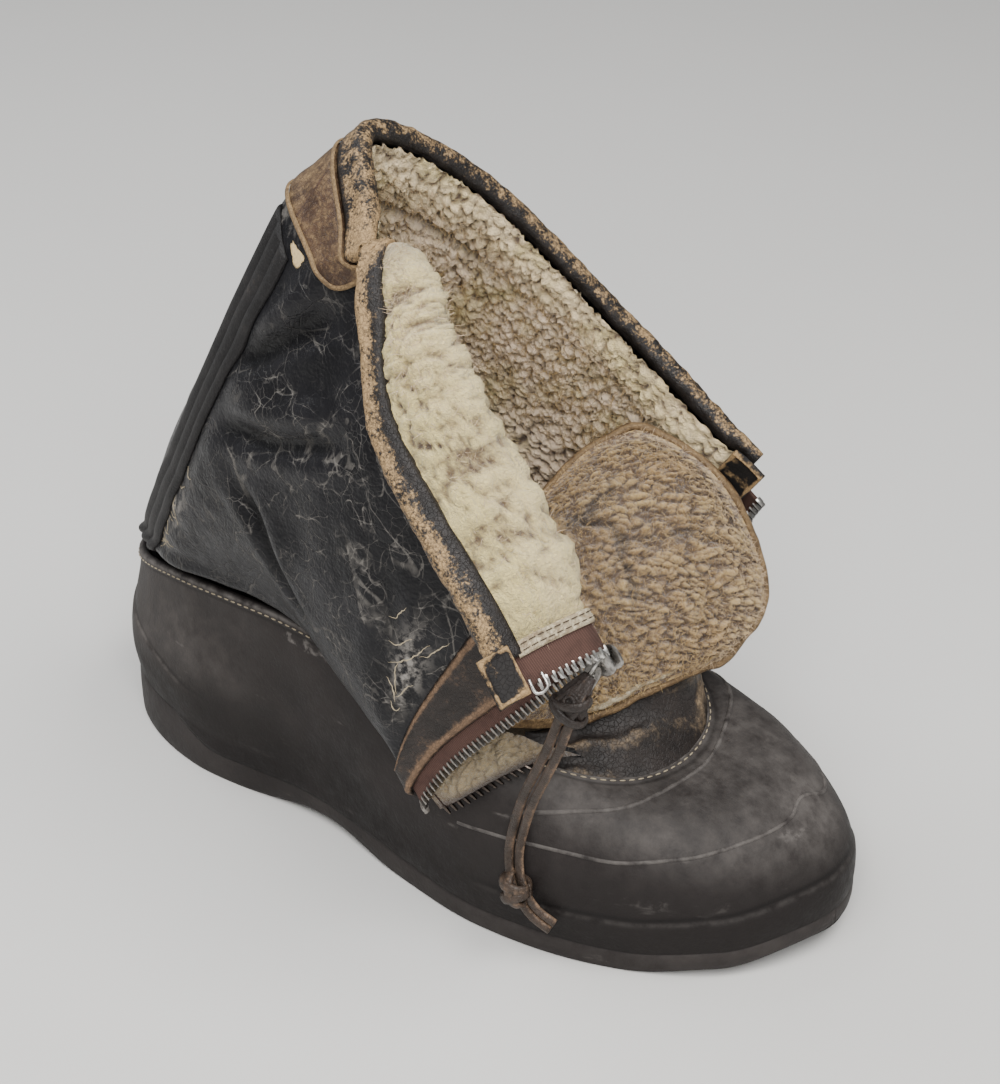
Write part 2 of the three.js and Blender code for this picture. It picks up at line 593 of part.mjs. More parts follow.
// Pull: flat tab with a slot for the bail and an eye for the thong
const PULL_LONG = 17;
const pullShape = new THREE.Shape();
pullShape.moveTo(-0.9, -2.6);
pullShape.lineTo(PULL_LONG - 3.2, -3.2);
pullShape.absarc(PULL_LONG - 3.2, 0, 3.2, -Math.PI / 2, Math.PI / 2, false);
pullShape.lineTo(-0.9, 2.6);
const slot = new THREE.Path();
slot.moveTo(0.9, -1.4);
slot.lineTo(0.9, 1.4);
slot.lineTo(6.4, 1.4);
slot.lineTo(6.4, -1.4);
const eye = new THREE.Path().absarc(PULL_LONG - 4, 0, 1.5, 0, 2 * Math.PI, true);
pullShape.holes.push(slot, eye);
const plate = (room) => new THREE.ExtrudeGeometry(pullShape, {
  depth: PULL_THICK + 2 * room, bevelEnabled: false, curveSegments: 5,
}).translate(0, 0, -PULL_THICK / 2 - room).applyMatrix4(pullBasis);
const zipPull = toGeometry(toSolid(plate(0)));

// Leather thong: hitched through the pull, doubled, knotted near its end
const THONG_RADIUS = 1.7;
const HITCH_RADIUS = 4.4;
const KNOT_RADIUS = 4.3;
const THONG_SPREAD = 2.0;
const pullEye = V(PULL_LONG - 1.6, 0, 0).applyMatrix4(pullBasis);
const lump = (centre, radius, flat) => new THREE.SphereGeometry(radius, 10, 7).scale(1, flat, 1)
  .translate(centre.x, centre.y, centre.z);
const cordHitch = toGeometry(toSolid(lump(pullEye, HITCH_RADIUS, 0.9)).subtract(toSolid(plate(GAP))));
const KNOT = V(73, -64, 30);
const THONG_BEND = [
  V(91, -68, 100), V(86, -67.2, 88), V(79, -65.6, 72), V(72.5, -62.2, 54), V(70.4, -61.6, 43)];
const TAIL_BEND = [V(80, -61.9, 20.5), V(86.5, -60.9, 17.2)];
const leave = (centre, radius, next) => centre.clone()
  .addScaledVector(next.clone().sub(centre).normalize(), radius + 2 * GAP);
const THONG_ROUTE = [
  leave(pullEye, HITCH_RADIUS, THONG_BEND[0]), ...THONG_BEND,
  leave(KNOT, KNOT_RADIUS, THONG_BEND[THONG_BEND.length - 1])];
const TAIL_ROUTE = [leave(KNOT, KNOT_RADIUS, TAIL_BEND[0]), ...TAIL_BEND];
const THONG_FACE = V(0.15, -0.98, 0.1).normalize();
const beside = (route, spread) => route.map((p, i) => {
  const along = route[Math.min(i + 1, route.length - 1)].clone().sub(route[Math.max(i - 1, 0)]);
  return p.clone().addScaledVector(along.cross(THONG_FACE).normalize(), spread);
});
const cordStrandA = tube(beside(THONG_ROUTE, THONG_SPREAD), THONG_RADIUS, 8, 12, false);
const cordStrandB = tube(beside(THONG_ROUTE, -THONG_SPREAD), THONG_RADIUS, 8, 12, false);
const cordTailA = tube(beside(TAIL_ROUTE, THONG_SPREAD), THONG_RADIUS, 8, 4, false);
const cordTailB = tube(beside(TAIL_ROUTE, -THONG_SPREAD), THONG_RADIUS, 8, 4, false);
const cordKnot = closedUp(lump(KNOT, KNOT_RADIUS, 0.9));

// Assembly

const LOOKS = {
  rubber: { color: 0x3a3330, roughness: 0.72, metalness: 0 },
  leather: { color: 0x23252a, roughness: 0.45, metalness: 0 },
  brown: { color: 0x4a3124, roughness: 0.55, metalness: 0 },
  tan: { color: 0x8a6440, roughness: 0.6, metalness: 0 },
  wool: { color: 0xcdb893, roughness: 0.95, metalness: 0 },
  tape: { color: 0x6b4438, roughness: 0.85, metalness: 0 },
  metal: { color: 0xb9b6ae, roughness: 0.35, metalness: 1 },
};
const looks = {};
for (const [name, settings] of Object.entries(LOOKS)) {
  looks[name] = new THREE.MeshStandardMaterial(settings);
  looks[name].name = name;
}

const boot = new THREE.Group();
boot.name = "flying_boot";
function place(name, geometry, look) {
  const mesh = new THREE.Mesh(geometry, looks[look]);
  mesh.name = name;
  boot.add(mesh);
}
place("outsole", outsole, "rubber");
place("insole", insole, "wool");
place("rubber_bottom", rubberBottom, "rubber");
place("shaft", shaft, "leather");
place("collar_band", collarBand, "brown");
place("backstay", backstay, "leather");
place("zip_band_outer", zipBandOuter, "brown");
place("zip_band_inner", zipBandInner, "brown");
place("collar_binding", collarBinding, "tan");
for (const [name, run] of Object.entries(ZIP_RUNS)) {
  place("zip_tape_" + name, tapeStrip(run, 0), "tape");
  place("zip_teeth_" + name, teethStrip(run, 0), "metal");
}
place("tongue", tongue, "wool");
place("tongue_piping", tonguePiping, "tan");
place("collar_tab_outer", collarTab(1), "brown");
place("collar_tab_inner", collarTab(-1), "brown");
place("zip_slider", zipSlider, "metal");
place("zip_pull", zipPull, "metal");
place("cord_hitch", cordHitch, "brown");
place("cord_strand_a", cordStrandA, "brown");
place("cord_strand_b", cordStrandB, "brown");
place("cord_knot", cordKnot, "brown");
place("cord_tail_a", cordTailA, "brown");
place("cord_tail_b", cordTailB, "brown");

// The origin is under the middle of the boot, measured without the thong
const extent = new THREE.Box3();
for (const mesh of boot.children) {
  if (!mesh.name.startsWith("cord_")) extent.expandByObject(mesh);
}
const middle = extent.getCenter(V(0, 0, 0));
for (const mesh of boot.children) mesh.geometry.translate(-middle.x, -middle.y, -extent.min.z);

export default boot;
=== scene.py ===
import math

import bpy
import numpy as np
from bpy.props import FloatProperty, FloatVectorProperty, PointerProperty
from mathutils import Matrix, Vector


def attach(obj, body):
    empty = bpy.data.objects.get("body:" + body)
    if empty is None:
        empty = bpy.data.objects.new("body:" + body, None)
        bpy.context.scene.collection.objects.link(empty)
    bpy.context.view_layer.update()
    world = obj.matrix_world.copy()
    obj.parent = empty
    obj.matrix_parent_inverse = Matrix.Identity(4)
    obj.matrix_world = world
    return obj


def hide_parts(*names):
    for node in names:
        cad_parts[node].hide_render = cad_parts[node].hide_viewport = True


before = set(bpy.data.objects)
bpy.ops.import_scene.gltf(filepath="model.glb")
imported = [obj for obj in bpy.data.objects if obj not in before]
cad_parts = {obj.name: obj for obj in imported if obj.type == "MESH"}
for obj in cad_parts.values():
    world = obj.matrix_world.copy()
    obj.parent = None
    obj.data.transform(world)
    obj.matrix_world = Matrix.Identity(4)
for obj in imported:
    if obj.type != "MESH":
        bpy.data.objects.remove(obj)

bl_info = {
    "name": "Flying Boot",
    "version": (1, 0, 0),
    "blender": (4, 5, 0),
    "location": "View3D > Sidebar > Boot",
    "description": "Dresses the packed flying boot in rubber, leather, wool, zip and thong",
    "category": "Object",
}

# Tables of the boot in millimetres, as in the part's source. The toe points along +X, the outer side
# of the foot is -Y. BOOT_MIDDLE is the place in the tables that is the frame's origin.
BOOT_MIDDLE = np.array([2.7625, -7.0207, 0.0])
MILLIMETRE = 0.001
GAP = 0.3
SEAT = 0.45
RUBBER_WALL = 3.2
SHEEPSKIN = 6.5
SEAM_EDGE = 2.4
SEAM_GAP = 1.3
BAND_THICK = 1.4
TAPE_WIDTH = 10.0
BINDING_THICK = 1.5
BINDING_LOW = 8.5
BAND_HIGH = 13.5
BAND_LOW = 37.0
PIPING_RADIUS = 3.0
TONGUE_THICK = 6.5
INSOLE_THICK = 4.0

# Sole: x, height of its floor face, thickness
SOLE_TABLE = np.array([
    (-155, 1.5, 20.5), (-140, 0, 22), (-72, 0, 21), (-25, 4.5, 14.5), (15, 0, 11),
    (60, 0, 9), (108, 0, 8.5), (138, 3.5, 8), (160, 9, 7)], float)
# Once round the foot: sole edge, rubber top line, then rise, swell, brow, lift and band
ROUND_TABLE = [
    ("heel back", (-153, 0), (-148, 0, 71), 24, 5, 2, -22, 0.62),
    ("heel corner", (-137, -30), (-138, -24, 73), 24, 5, 2, -22, 0.5),
    ("heel outer", (-96, -46), (-100, -40, 83), 26, 3, 2, -22, 0.2),
    ("waist outer", (-38, -45), (-42, -46, 88), 26, 1, 4, -22, 0.14),
    ("shank outer", (8, -53), (5, -50, 84), 26, 4, 6, -16, 0.14),
    ("ball outer", (52, -59), (44, -49, 76), 26, 5, 10, -8, 0.14),
    ("tread outer", (98, -52), (76, -38, 66), 28, 5, 14, 0, 0.15),
    ("toe outer", (139, -30), (93, -20, 60), 30, 4, 24, 4, 0.15),
    ("toe tip", (160, 7), (98, 3, 58.5), 30, 3, 30, 6, 0.16),
    ("toe inner", (147, 40), (92, 26, 61), 30, 4, 26, 4, 0.15),
    ("tread inner", (108, 57), (75, 41, 67), 28, 4, 14, 0, 0.15),
    ("ball inner", (56, 57), (43, 47, 76), 26, 4, 10, -8, 0.14),
    ("shank inner", (8, 42), (5, 46, 84), 28, 2, 6, -16, 0.14),
    ("waist inner", (-38, 34), (-42, 43, 88), 28, 1, 4, -22, 0.14),
    ("heel inner", (-96, 38), (-100, 38, 83), 26, 3, 2, -22, 0.2),
    ("heel inner corner", (-136, 27), (-138, 23, 73), 24, 5, 2, -22, 0.5),
]
# Shaft rows turn, sag, ankle, calf, shoulder, roll, collar; columns from the outer zip edge round
# the back seam (column 5) to the inner zip edge (column 8)
SHAFT_TABLE = np.array([
    [(62, -45, 74), (12, -58, 87), (-44, -50, 97), (-76, -47, 96), (-106, -42, 93),
     (-144, -4, 82), (-98, 42, 94), (8, 55, 90), (70, 44, 75)],
    [(33, -70, 60), (18, -73, 82), (-38, -57, 107), (-70, -53, 107), (-100, -47, 106),
     (-138, -8, 95), (-92, 45, 107), (8, 72, 76), (48, 70, 62)],
    [(42, -72, 84), (22, -77, 108), (-28, -66, 130), (-58, -60, 133), (-86, -51, 134),
     (-119, -13, 130), (-77, 46, 138), (10, 79, 96), (50, 75, 74)],
    [(72, -66, 119), (30, -71, 158), (-6, -66, 177), (-36, -60, 180), (-62, -52, 180),
     (-90, -18, 181), (-52, 43, 178), (16, 77, 128), (58, 74, 92)],
    [(95, -58, 145), (45, -59, 212), (26, -53, 234), (8, -46, 243), (-30, -49, 227),
     (-56, -18, 241), (-30, 38, 213), (26, 70, 156), (69, 71, 116)],
    [(91, -76, 146), (40, -68, 207), (21, -58, 234), (7, -50, 247), (-18, -45, 241),
     (-43, -15, 256), (-20, 35, 228), (32, 66, 171), (75, 69, 131)],
    [(85, -91, 142), (32, -77, 195), (15, -63, 227), (5, -54, 243), (-6, -39, 255),
     (-28, -10, 271), (-10, 32, 242), (38, 61, 185), (86, 66, 147)]], float)
SHAFT_FEET = np.array([7.5, 4.4, 3, 2.35, 1.7, 0, -2, -4, -7.5])
LAST_COLUMN = 8.0
LAST_ROW = 8.0
# Tongue ribs from front to rear, each from its root on the wall to its tip
TONGUE_TABLE = np.array([
    [(47, -68, 92), (72, -22, 80), (84, -4, 84), (93, 14, 86), (101, 30, 88)],
    [(42, -69, 96), (60, -30, 86), (76, 0, 101), (91, 26, 106), (102, 46, 98)],
    [(37, -70, 101), (48, -34, 92), (62, 0, 118), (80, 33, 128), (97, 53, 113)],
    [(31, -71, 106), (36, -34, 98), (47, 2, 131), (62, 36, 147), (81, 50, 142)],
    [(25, -72, 112), (26, -30, 106), (33, -2, 136), (38, 26, 152), (55, 46, 161)]], float)
TIP = 4.0
# Thong: the knot, and the bends of its run from the hitch to the knot and of its tail
KNOT = np.array([73, -64, 30.0])
KNOT_RADIUS = 4.3
HITCH_RADIUS = 4.4
THONG_BEND = [(91, -68, 100), (86, -67.2, 88), (79, -65.6, 72), (72.5, -62.2, 54), (70.4, -61.6, 43)]
TAIL_BEND = [(80, -61.9, 20.5), (86.5, -60.9, 17.2)]
THONG_SPREAD = 2.0
THONG_FACE = np.array([0.15, -0.98, 0.1])
PULL_TIP = np.array([97, -69.5, 118.5])
PULL_LONG = 17.0
SLIDER_ROW = 5.92


class BootSizes(bpy.types.PropertyGroup):
    """Sizes of the boot's finish."""
    wool_height: FloatProperty(
        name="Wool Height", description="How far the clumps of the lining stand up",
        default=0.0034, unit="LENGTH")
    clump_size: FloatProperty(
        name="Clump Size", description="Width of one clump of wool",
        default=0.0046, unit="LENGTH")
    fibre_length: FloatProperty(
        name="Fibre Length", description="Length of the loose wool fibres",
        default=0.0042, unit="LENGTH")
    stitch_pitch: FloatProperty(
        name="Stitch Pitch", description="Distance from one stitch to the next",
        default=0.0036, unit="LENGTH")
    tooth_pitch: FloatProperty(
        name="Tooth Pitch", description="Distance from one zip tooth to the next",
        default=0.0027, unit="LENGTH")
    thong_width: FloatProperty(
        name="Thong Width", description="Width of one leather strand",
        default=0.0034, unit="LENGTH")
    lens: FloatProperty(
        name="Lens", description="Focal length of the camera",
        default=81.7, unit="CAMERA")


def colour_choice(name, description, default):
    return FloatVectorProperty(name=name, description=description, default=default, subtype="COLOR",
                               size=3, min=0, max=1)


class BootColours(bpy.types.PropertyGroup):
    """Colours of the boot's finishes."""
    rubber: colour_choice("Rubber", "Clean rubber", (0.0094, 0.0070, 0.0067))
    # Dust colour, which on the rubber's upward faces also serves as painted light from above.
    dust: colour_choice("Dust", "Dust and wear on the rubber", (0.15, 0.137, 0.127))
    leather: colour_choice("Leather", "Black leather of the shaft", (0.0062, 0.0060, 0.0068))
    crackle: colour_choice("Crackle", "Worn lines in the black leather", (0.13, 0.12, 0.108))
    brown: colour_choice("Brown", "Brown leather of the bands", (0.05, 0.027, 0.016))
    tan: colour_choice("Tan", "Leather worn to its tan", (0.34, 0.222, 0.108))
    cream: colour_choice("Cream", "Bare skin side and thread", (0.62, 0.54, 0.38))
    wool: colour_choice("Wool", "Tips of the wool", (0.68, 0.575, 0.29))
    # Brown of the painted shade in the wool's crevices and shadowed places.
    wool_shade: colour_choice("Wool Deep", "Wool between the clumps", (0.11, 0.058, 0.022))
    tape: colour_choice("Tape", "Woven tape of the zip", (0.082, 0.043, 0.034))
    metal: colour_choice("Metal", "Zip metal", (0.72, 0.70, 0.66))
    thong: colour_choice("Thong", "Leather of the thong", (0.038, 0.026, 0.019))
    felt: colour_choice("Felt", "Felt of the insole", (0.20, 0.17, 0.13))
    floor: colour_choice("Floor", "Pale floor", (0.62, 0.61, 0.59))


def sizes():
    return bpy.context.scene.boot_sizes


def colours():
    return bpy.context.scene.boot_colours


# Curves and faces of the boot, in millimetres of the tables

def soft(f):
    f = np.clip(f, 0, 1)
    return f * f * (3 - 2 * f)


def mix(a, b, f):
    return a + (b - a) * f


def bell(x, middle, half):
    """1 where x is at the middle, falling away softly on both sides."""
    return np.exp(-((x - middle) / half) ** 2)


def squarish(wave, power):
    """A sine or cosine bent towards the corners of a box by a power below 1."""
    return np.sign(wave) * np.abs(wave) ** power


def dome(places, power):
    """Rounded height over places from -1 to 1, flatter for a higher power."""
    return np.sqrt(np.clip(1 - places ** power, 0, 1))


def picked_at(values, at):
    """Points or vectors of a list at places between its own."""
    return np.stack([np.interp(at, np.arange(len(values)), values[:, k]) for k in range(values.shape[1])], -1)


def unit(vectors):
    return vectors / np.maximum(np.linalg.norm(vectors, axis=-1, keepdims=True), 1e-9)


def spline(keys, t, closed=False):
    """Uniform Catmull-Rom value at t through keys[0], keys[1] and so on.

    With keys of shape (rows, n, 3), column k is followed at t[k].
    """
    keys = np.asarray(keys, float)
    t = np.asarray(t, float)
    n = len(keys)
    last = n if closed else n - 1
    s = np.mod(t, n) if closed else np.clip(t, 0, last)
    i = np.minimum(np.floor(s).astype(int), last - 1)
    f = (s - i)[..., None]
    if closed:
        a, b, c, d = (keys[np.mod(i + k, n)] for k in (-1, 0, 1, 2))
    else:
        ends = np.concatenate([[2 * keys[0] - keys[1]], keys, [2 * keys[-1] - keys[-2]]])
        at = (np.arange(i.size),) if keys.ndim > 2 else ()
        a, b, c, d = (ends[(i + k, *at)] for k in (0, 1, 2, 3))
    return b + 0.5 * f * (c - a + f * (2 * a - 5 * b + 4 * c - d + f * (3 * (b - c) + d - a)))


def sole_sizes(x):
    """Heights of the outsole's floor face and top face at x."""
    i = np.clip(np.searchsorted(SOLE_TABLE[:, 0], x, side="right") - 1, 0, len(SOLE_TABLE) - 2)
    low, high = SOLE_TABLE[i], SOLE_TABLE[i + 1]
    f = soft((x - low[..., 0]) / (high[..., 0] - low[..., 0]))
    under = mix(low[..., 1], high[..., 1], f)
    return under, under + mix(low[..., 2], high[..., 2], f)


SOLE_KEYS = np.array([(*row[1], 0) for row in ROUND_TABLE], float)
TOP_KEYS = np.array([row[2] for row in ROUND_TABLE], float)
HANDLE_KEYS = np.array([row[3:7] for row in ROUND_TABLE], float)
BAND_KEYS = np.array([row[7:8] for row in ROUND_TABLE], float)
ROUND = len(ROUND_TABLE)


def outward(r):
    along = spline(SOLE_KEYS, r + 0.05, True) - spline(SOLE_KEYS, r - 0.05, True)
    return unit(np.stack([along[..., 1], -along[..., 0], 0 * along[..., 0]], -1))


def rubber_face(r, v):
    """Outer face of the rubber: r steps round the foot, v from the sole to the top line."""
    r, v = np.broadcast_arrays(np.asarray(r, float), np.asarray(v, float))
    foot = spline(SOLE_KEYS, r, True)
    foot[..., 2] = sole_sizes(foot[..., 0])[1] + SEAT
    top = spline(TOP_KEYS, r, True)
    rise, swell, brow, lift = np.moveaxis(spline(HANDLE_KEYS, r, True), -1, 0)[..., None]
    out = outward(r)
    up = np.array([0, 0, 1.0])
    low = foot + out * swell + up * rise
    high = top + out * brow + up * lift
    v = v[..., None]
    return (1 - v) ** 3 * foot + 3 * v * (1 - v) ** 2 * low + 3 * v * v * (1 - v) * high + v ** 3 * top


def rubber_normal(r, v, step=0.01):
    r, v = np.broadcast_arrays(np.asarray(r, float), np.asarray(v, float))
    da = rubber_face(r + step, v) - rubber_face(r - step, v)
    db = rubber_face(r, np.minimum(v + step, 1)) - rubber_face(r, np.maximum(v - step, 0))
    return unit(np.cross(da, db))


def shaft_face(c, v):
    """Leather face of the shaft: c columns round the leg, v rows up from the seam in the rubber."""
    c, v = np.broadcast_arrays(np.asarray(c, float), np.asarray(v, float))
    shape = c.shape
    c, column = np.unique(c, return_inverse=True)
    r = np.interp(c, np.arange(len(SHAFT_FEET)), SHAFT_FEET)
    sink = RUBBER_WALL + SEAM_GAP
    tuck = rubber_face(r, 0.9) - rubber_normal(r, 0.9) * sink
    edge = rubber_face(r, 1.0)
    rim = edge - rubber_normal(r, 0.99) * sink + unit(edge - rubber_face(r, 0.97)) * 1.5
    rows = np.stack([tuck, rim] + [spline(row, c) for row in SHAFT_TABLE])
    return spline(rows[:, column.ravel()], v.ravel()).reshape(*shape, 3)


def shaft_normal(c, v, step=0.02):
    c, v = np.broadcast_arrays(np.asarray(c, float), np.asarray(v, float))
    dc = shaft_face(np.minimum(c + step, LAST_COLUMN), v) - shaft_face(np.maximum(c - step, 0), v)
    dv = shaft_face(c, np.minimum(v + step, LAST_ROW)) - shaft_face(c, np.maximum(v - step, 0))
    return unit(np.cross(dv, dc))


def skin(c, v):
    """Thickness of the sheepskin, thin in the seams at the rubber and at the zip."""
    full = mix(SEAM_EDGE, SHEEPSKIN, soft((v - 0.8) / 1.2))
    return mix(SEAM_EDGE, full, soft(np.minimum(c, LAST_COLUMN - c) / 0.3))


def rows_below(c, below):
    """Rows that lie the given ways below the collar edge on each column c; shape (c, below)."""
    c = np.atleast_1d(np.asarray(c, float))
    v = np.linspace(LAST_ROW, 3.0, 401)
    path = shaft_face(c[:, None], v[None, :])
    gone = np.cumsum(np.linalg.norm(np.diff(path, axis=1), axis=2), axis=1)
    gone = np.concatenate([np.zeros((len(c), 1)), gone], axis=1)
    return np.stack([np.interp(below, line, v) for line in gone])


def one_row(c, below):
    return rows_below([c], [below])[0, 0]


def row_at(c, below):
    """Row, or rows, that lie below the collar edge by the way or ways given for each column c."""
    return np.array([rows_below(a, b)[0] for a, b in zip(c, below)])


def tongue_face(p, q):
    """Wool face of the tongue: p ribs from front to rear, q from root to tip."""
    p, q = np.broadcast_arrays(np.asarray(p, float), np.asarray(q, float))
    shape = p.shape
    p, q = p.ravel(), q.ravel()
    trimmed = q * (1 - 0.075 * np.abs(p / 2 - 1) ** 6)
    ribs = np.stack([spline(rib, trimmed) for rib in TONGUE_TABLE])
    return spline(ribs, p).reshape(*shape, 3)


def tongue_normal(p, q, step=0.03):
    p, q = np.broadcast_arrays(np.asarray(p, float), np.asarray(q, float))
    dp = tongue_face(np.minimum(p + step, TIP), q) - tongue_face(np.maximum(p - step, 0), q)
    dq = tongue_face(p, np.minimum(q + step, TIP)) - tongue_face(p, np.maximum(q - step, 0))
    return unit(np.cross(dq, dp))


def zip_frame(side, v):
    """Edge, leather normal and way out of the leather at row v of the outer (1) or inner (-1) zip."""
    v = np.asarray(v, float)
    c = np.full_like(v, 0.0 if side > 0 else LAST_COLUMN)
    edge = shaft_face(c, v)
    normal = shaft_normal(c, v)
    away = edge - shaft_face(c + side * 0.06, v)
    away = unit(away - normal * np.sum(away * normal, -1, keepdims=True))
    return edge, normal, away


def beside(edge, away, normal, a, deep):
    """Grid of points at the ways a out of a zip edge, sunk by deep under the leather's face."""
    deep = np.broadcast_to(deep, (len(edge), len(a)))
    return edge[:, None] + away[:, None] * a[None, :, None] - normal[:, None] * deep[..., None]


def gone_along(grid, axis):
    """Way gone over a grid of points from its first row along an axis."""
    steps = np.diff(grid, axis=axis, prepend=np.take(grid, [0], axis))
    return np.cumsum(np.linalg.norm(steps, axis=-1), axis=axis)


# Noise in space

def hashed(cell, seed):
    """Three even random numbers for each whole-number cell."""
    h = cell.astype(np.int64).astype(np.uint32)
    mixed = h[..., 0] * np.uint32(73856093) ^ h[..., 1] * np.uint32(19349663)
    mixed = mixed ^ h[..., 2] * np.uint32(83492791) ^ np.uint32(seed * 2654435761 % 2 ** 32)
    out = []
    for k in range(3):
        mixed = (mixed ^ (mixed >> np.uint32(15))) * np.uint32(2246822519)
        mixed = mixed + np.uint32(k * 3266489917 % 2 ** 32)
        mixed = (mixed ^ (mixed >> np.uint32(13))) * np.uint32(3266489917)
        mixed = mixed ^ (mixed >> np.uint32(16))
        out.append(mixed / 2.0 ** 32)
    return np.stack(out, -1)


def cloud(points, seed):
    """Smooth noise from -1 to 1 with one lump to each unit of space."""
    base = np.floor(points)
    f = soft(points - base)
    total = 0.0
    for corner in np.ndindex(2, 2, 2):
        corner = np.array(corner)
        weight = np.prod(np.where(corner == 1, f, 1 - f), axis=-1)
        total = total + weight * hashed(base + corner, seed)[..., 0]
    return 2 * total - 1


def cells(points, seed):
    """Distances to the nearest and the next of the points scattered one to each unit of space."""
    base = np.floor(points)
    near = np.full(points.shape[:-1], 9.0)
    after = near.copy()
    for step in np.ndindex(3, 3, 3):
        cell = base + np.array(step) - 1
        distance = np.linalg.norm(cell + hashed(cell, seed) - points, axis=-1)
        after = np.minimum(after, np.maximum(near, distance))
        near = np.minimum(near, distance)
    return near, after


def curls(points, size, seed):
    """Height of woolly clumps, from 0 in the crevices to 1 on the tips."""
    drift = np.stack([cloud(points / (1.5 * size), seed + k) for k in range(3)], -1)
    near, after = cells((points + 0.85 * size * drift) / size, seed)
    dome = np.clip(1.05 - near ** 1.5, 0, 1)
    return (0.6 + 0.4 * dome) * soft((after - near + 0.03) / 0.3)


# Meshes

def to_frame(points):
    return (np.asarray(points, float) - BOOT_MIDDLE) * MILLIMETRE


def grid_faces(n, m, wrap=False):
    """Faces of a grid of n rings by m points; the points of a ring close on themselves if wrap."""
    i = np.arange(n - 1)[:, None]
    j = np.arange(m if wrap else m - 1)[None, :]
    after = (j + 1) % m
    return np.stack([i * m + j, i * m + after, (i + 1) * m + after, (i + 1) * m + j], -1).reshape(-1, 4)


class Bundle:
    """Points and faces that add up to one mesh, with the masks its finish reads."""

    def __init__(self):
        self.points = []
        self.faces = []
        self.masks = {}
        self.count = 0

    def add(self, points, faces, **masks):
        points = np.asarray(points, float).reshape(-1, 3)
        self.points.append(points)
        self.faces.extend((np.asarray(face) + self.count).tolist() for face in faces)
        for name, values in masks.items():
            values = np.broadcast_to(np.asarray(values, float).ravel(), (len(points),))
            self.masks.setdefault(name, []).append((self.count, values))
        self.count += len(points)

    def sheet(self, grid, **masks):
        """Open sheet from a grid of points."""
        n, m = grid.shape[:2]
        self.add(grid, grid_faces(n, m), **self.spread(masks, n, m))

    def loft(self, rings, capped=True, **masks):
        """Skin over closed rings of points, with a face over each end."""
        n, m = rings.shape[:2]
        faces = grid_faces(n, m, wrap=True).tolist()
        if capped:
            faces.append(list(range(m))[::-1])
            faces.append([(n - 1) * m + k for k in range(m)])
        self.add(rings, faces, **self.spread(masks, n, m))

    @staticmethod
    def spread(masks, n, m):
        """Masks given for a grid, a row, a column or as one number, spread over the whole grid."""
        return {name: np.broadcast_to(values, (n, m)) for name, values in masks.items()}

    def build(self, name, finish, nodes=(), sharp=None):
        """Makes the mesh object, which rides on the boot and stands for the CAD nodes."""
        points = np.concatenate(self.points)
        mesh = bpy.data.meshes.new(name)
        mesh.from_pydata(to_frame(points).tolist(), [], self.faces)
        for mask, runs in self.masks.items():
            values = np.zeros(len(points))
            for start, run in runs:
                values[start:start + len(run)] = run
            layer = mesh.attributes.new(mask, "FLOAT", "POINT")
            layer.data.foreach_set("value", values.astype(np.float32))
        mesh.shade_smooth()
        if sharp:
            mesh.set_sharp_from_angle(angle=math.radians(sharp))
        mesh.materials.append(finish)
        boot_piece = bpy.data.objects.new(name, mesh)
        bpy.context.scene.collection.objects.link(boot_piece)
        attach(boot_piece, "root")
        if nodes:
            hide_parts(*nodes)
        return boot_piece


def tube_rings(path, width, high, face, sides=10):
    """Rings round a path, wide along path x face and high along face; sizes may vary along it."""
    path = np.asarray(path, float)
    along = unit(np.gradient(path, axis=0))
    face = np.broadcast_to(np.asarray(face, float), path.shape)
    across = unit(np.cross(along, face))
    up = np.cross(across, along)
    angle = np.arange(sides) * 2 * math.pi / sides
    wide = np.broadcast_to(np.asarray(width, float), len(path))[:, None, None] / 2
    tall = np.broadcast_to(np.asarray(high, float), len(path))[:, None, None] / 2
    return (path[:, None] + across[:, None] * wide * np.cos(angle)[None, :, None]
            + up[:, None] * tall * np.sin(angle)[None, :, None])


def evenly(path, step):
    """Points at equal steps along a path, and how far along the path's own points they lie."""
    lengths = np.linalg.norm(np.diff(path, axis=0), axis=1)
    gone = np.concatenate([[0], np.cumsum(lengths)])
    count = max(int(round(gone[-1] / step)), 2)
    at = np.interp(np.linspace(0, gone[-1], count + 1), gone, np.arange(len(path)))
    return at, gone[-1]


def line_on(face, normal, keys, step):
    """Points and normals at equal steps along the smooth line through places (a, b) of a face."""
    keys = np.asarray([(a, b, 0) for a, b in keys], float)
    fine = spline(keys, np.linspace(0, len(keys) - 1, 40 * len(keys)))
    path = face(fine[:, 0], fine[:, 1])
    at, _ = evenly(path, step)
    place = picked_at(fine, at)
    return face(place[:, 0], place[:, 1]), normal(place[:, 0], place[:, 1])


def way_to(points, line):
    """Distance of each point from a line of points, and its place along the line from 0 to 1."""
    best = np.full(len(points), 1e9)
    place = np.zeros(len(points))
    count = len(line) - 1
    for k in range(count):
        a, b = line[k], line[k + 1]
        ab = b - a
        f = np.clip((points - a) @ ab / max(ab @ ab, 1e-9), 0, 1)
        d = np.linalg.norm(points - a - f[:, None] * ab, axis=1)
        closer = d < best
        best[closer] = d[closer]
        place[closer] = (k + f[closer]) / count
    return best, place


def ridge(bundle, path, normal, width, high, sink=0.3, **masks):
    """Rounded raised line that follows a path on a face."""
    along = unit(np.gradient(path, axis=0))
    across = unit(np.cross(along, normal))
    angle = np.linspace(0, math.pi, 7)
    ends = np.sin(np.linspace(0.12, math.pi - 0.12, len(path))) ** 0.25
    side = (np.cos(angle) * width / 2)[None, :, None]
    lift = (np.sin(angle)[None, :] * high * ends[:, None] - sink)[..., None]
    bundle.sheet(path[:, None] + across[:, None] * side + normal[:, None] * lift, **masks)


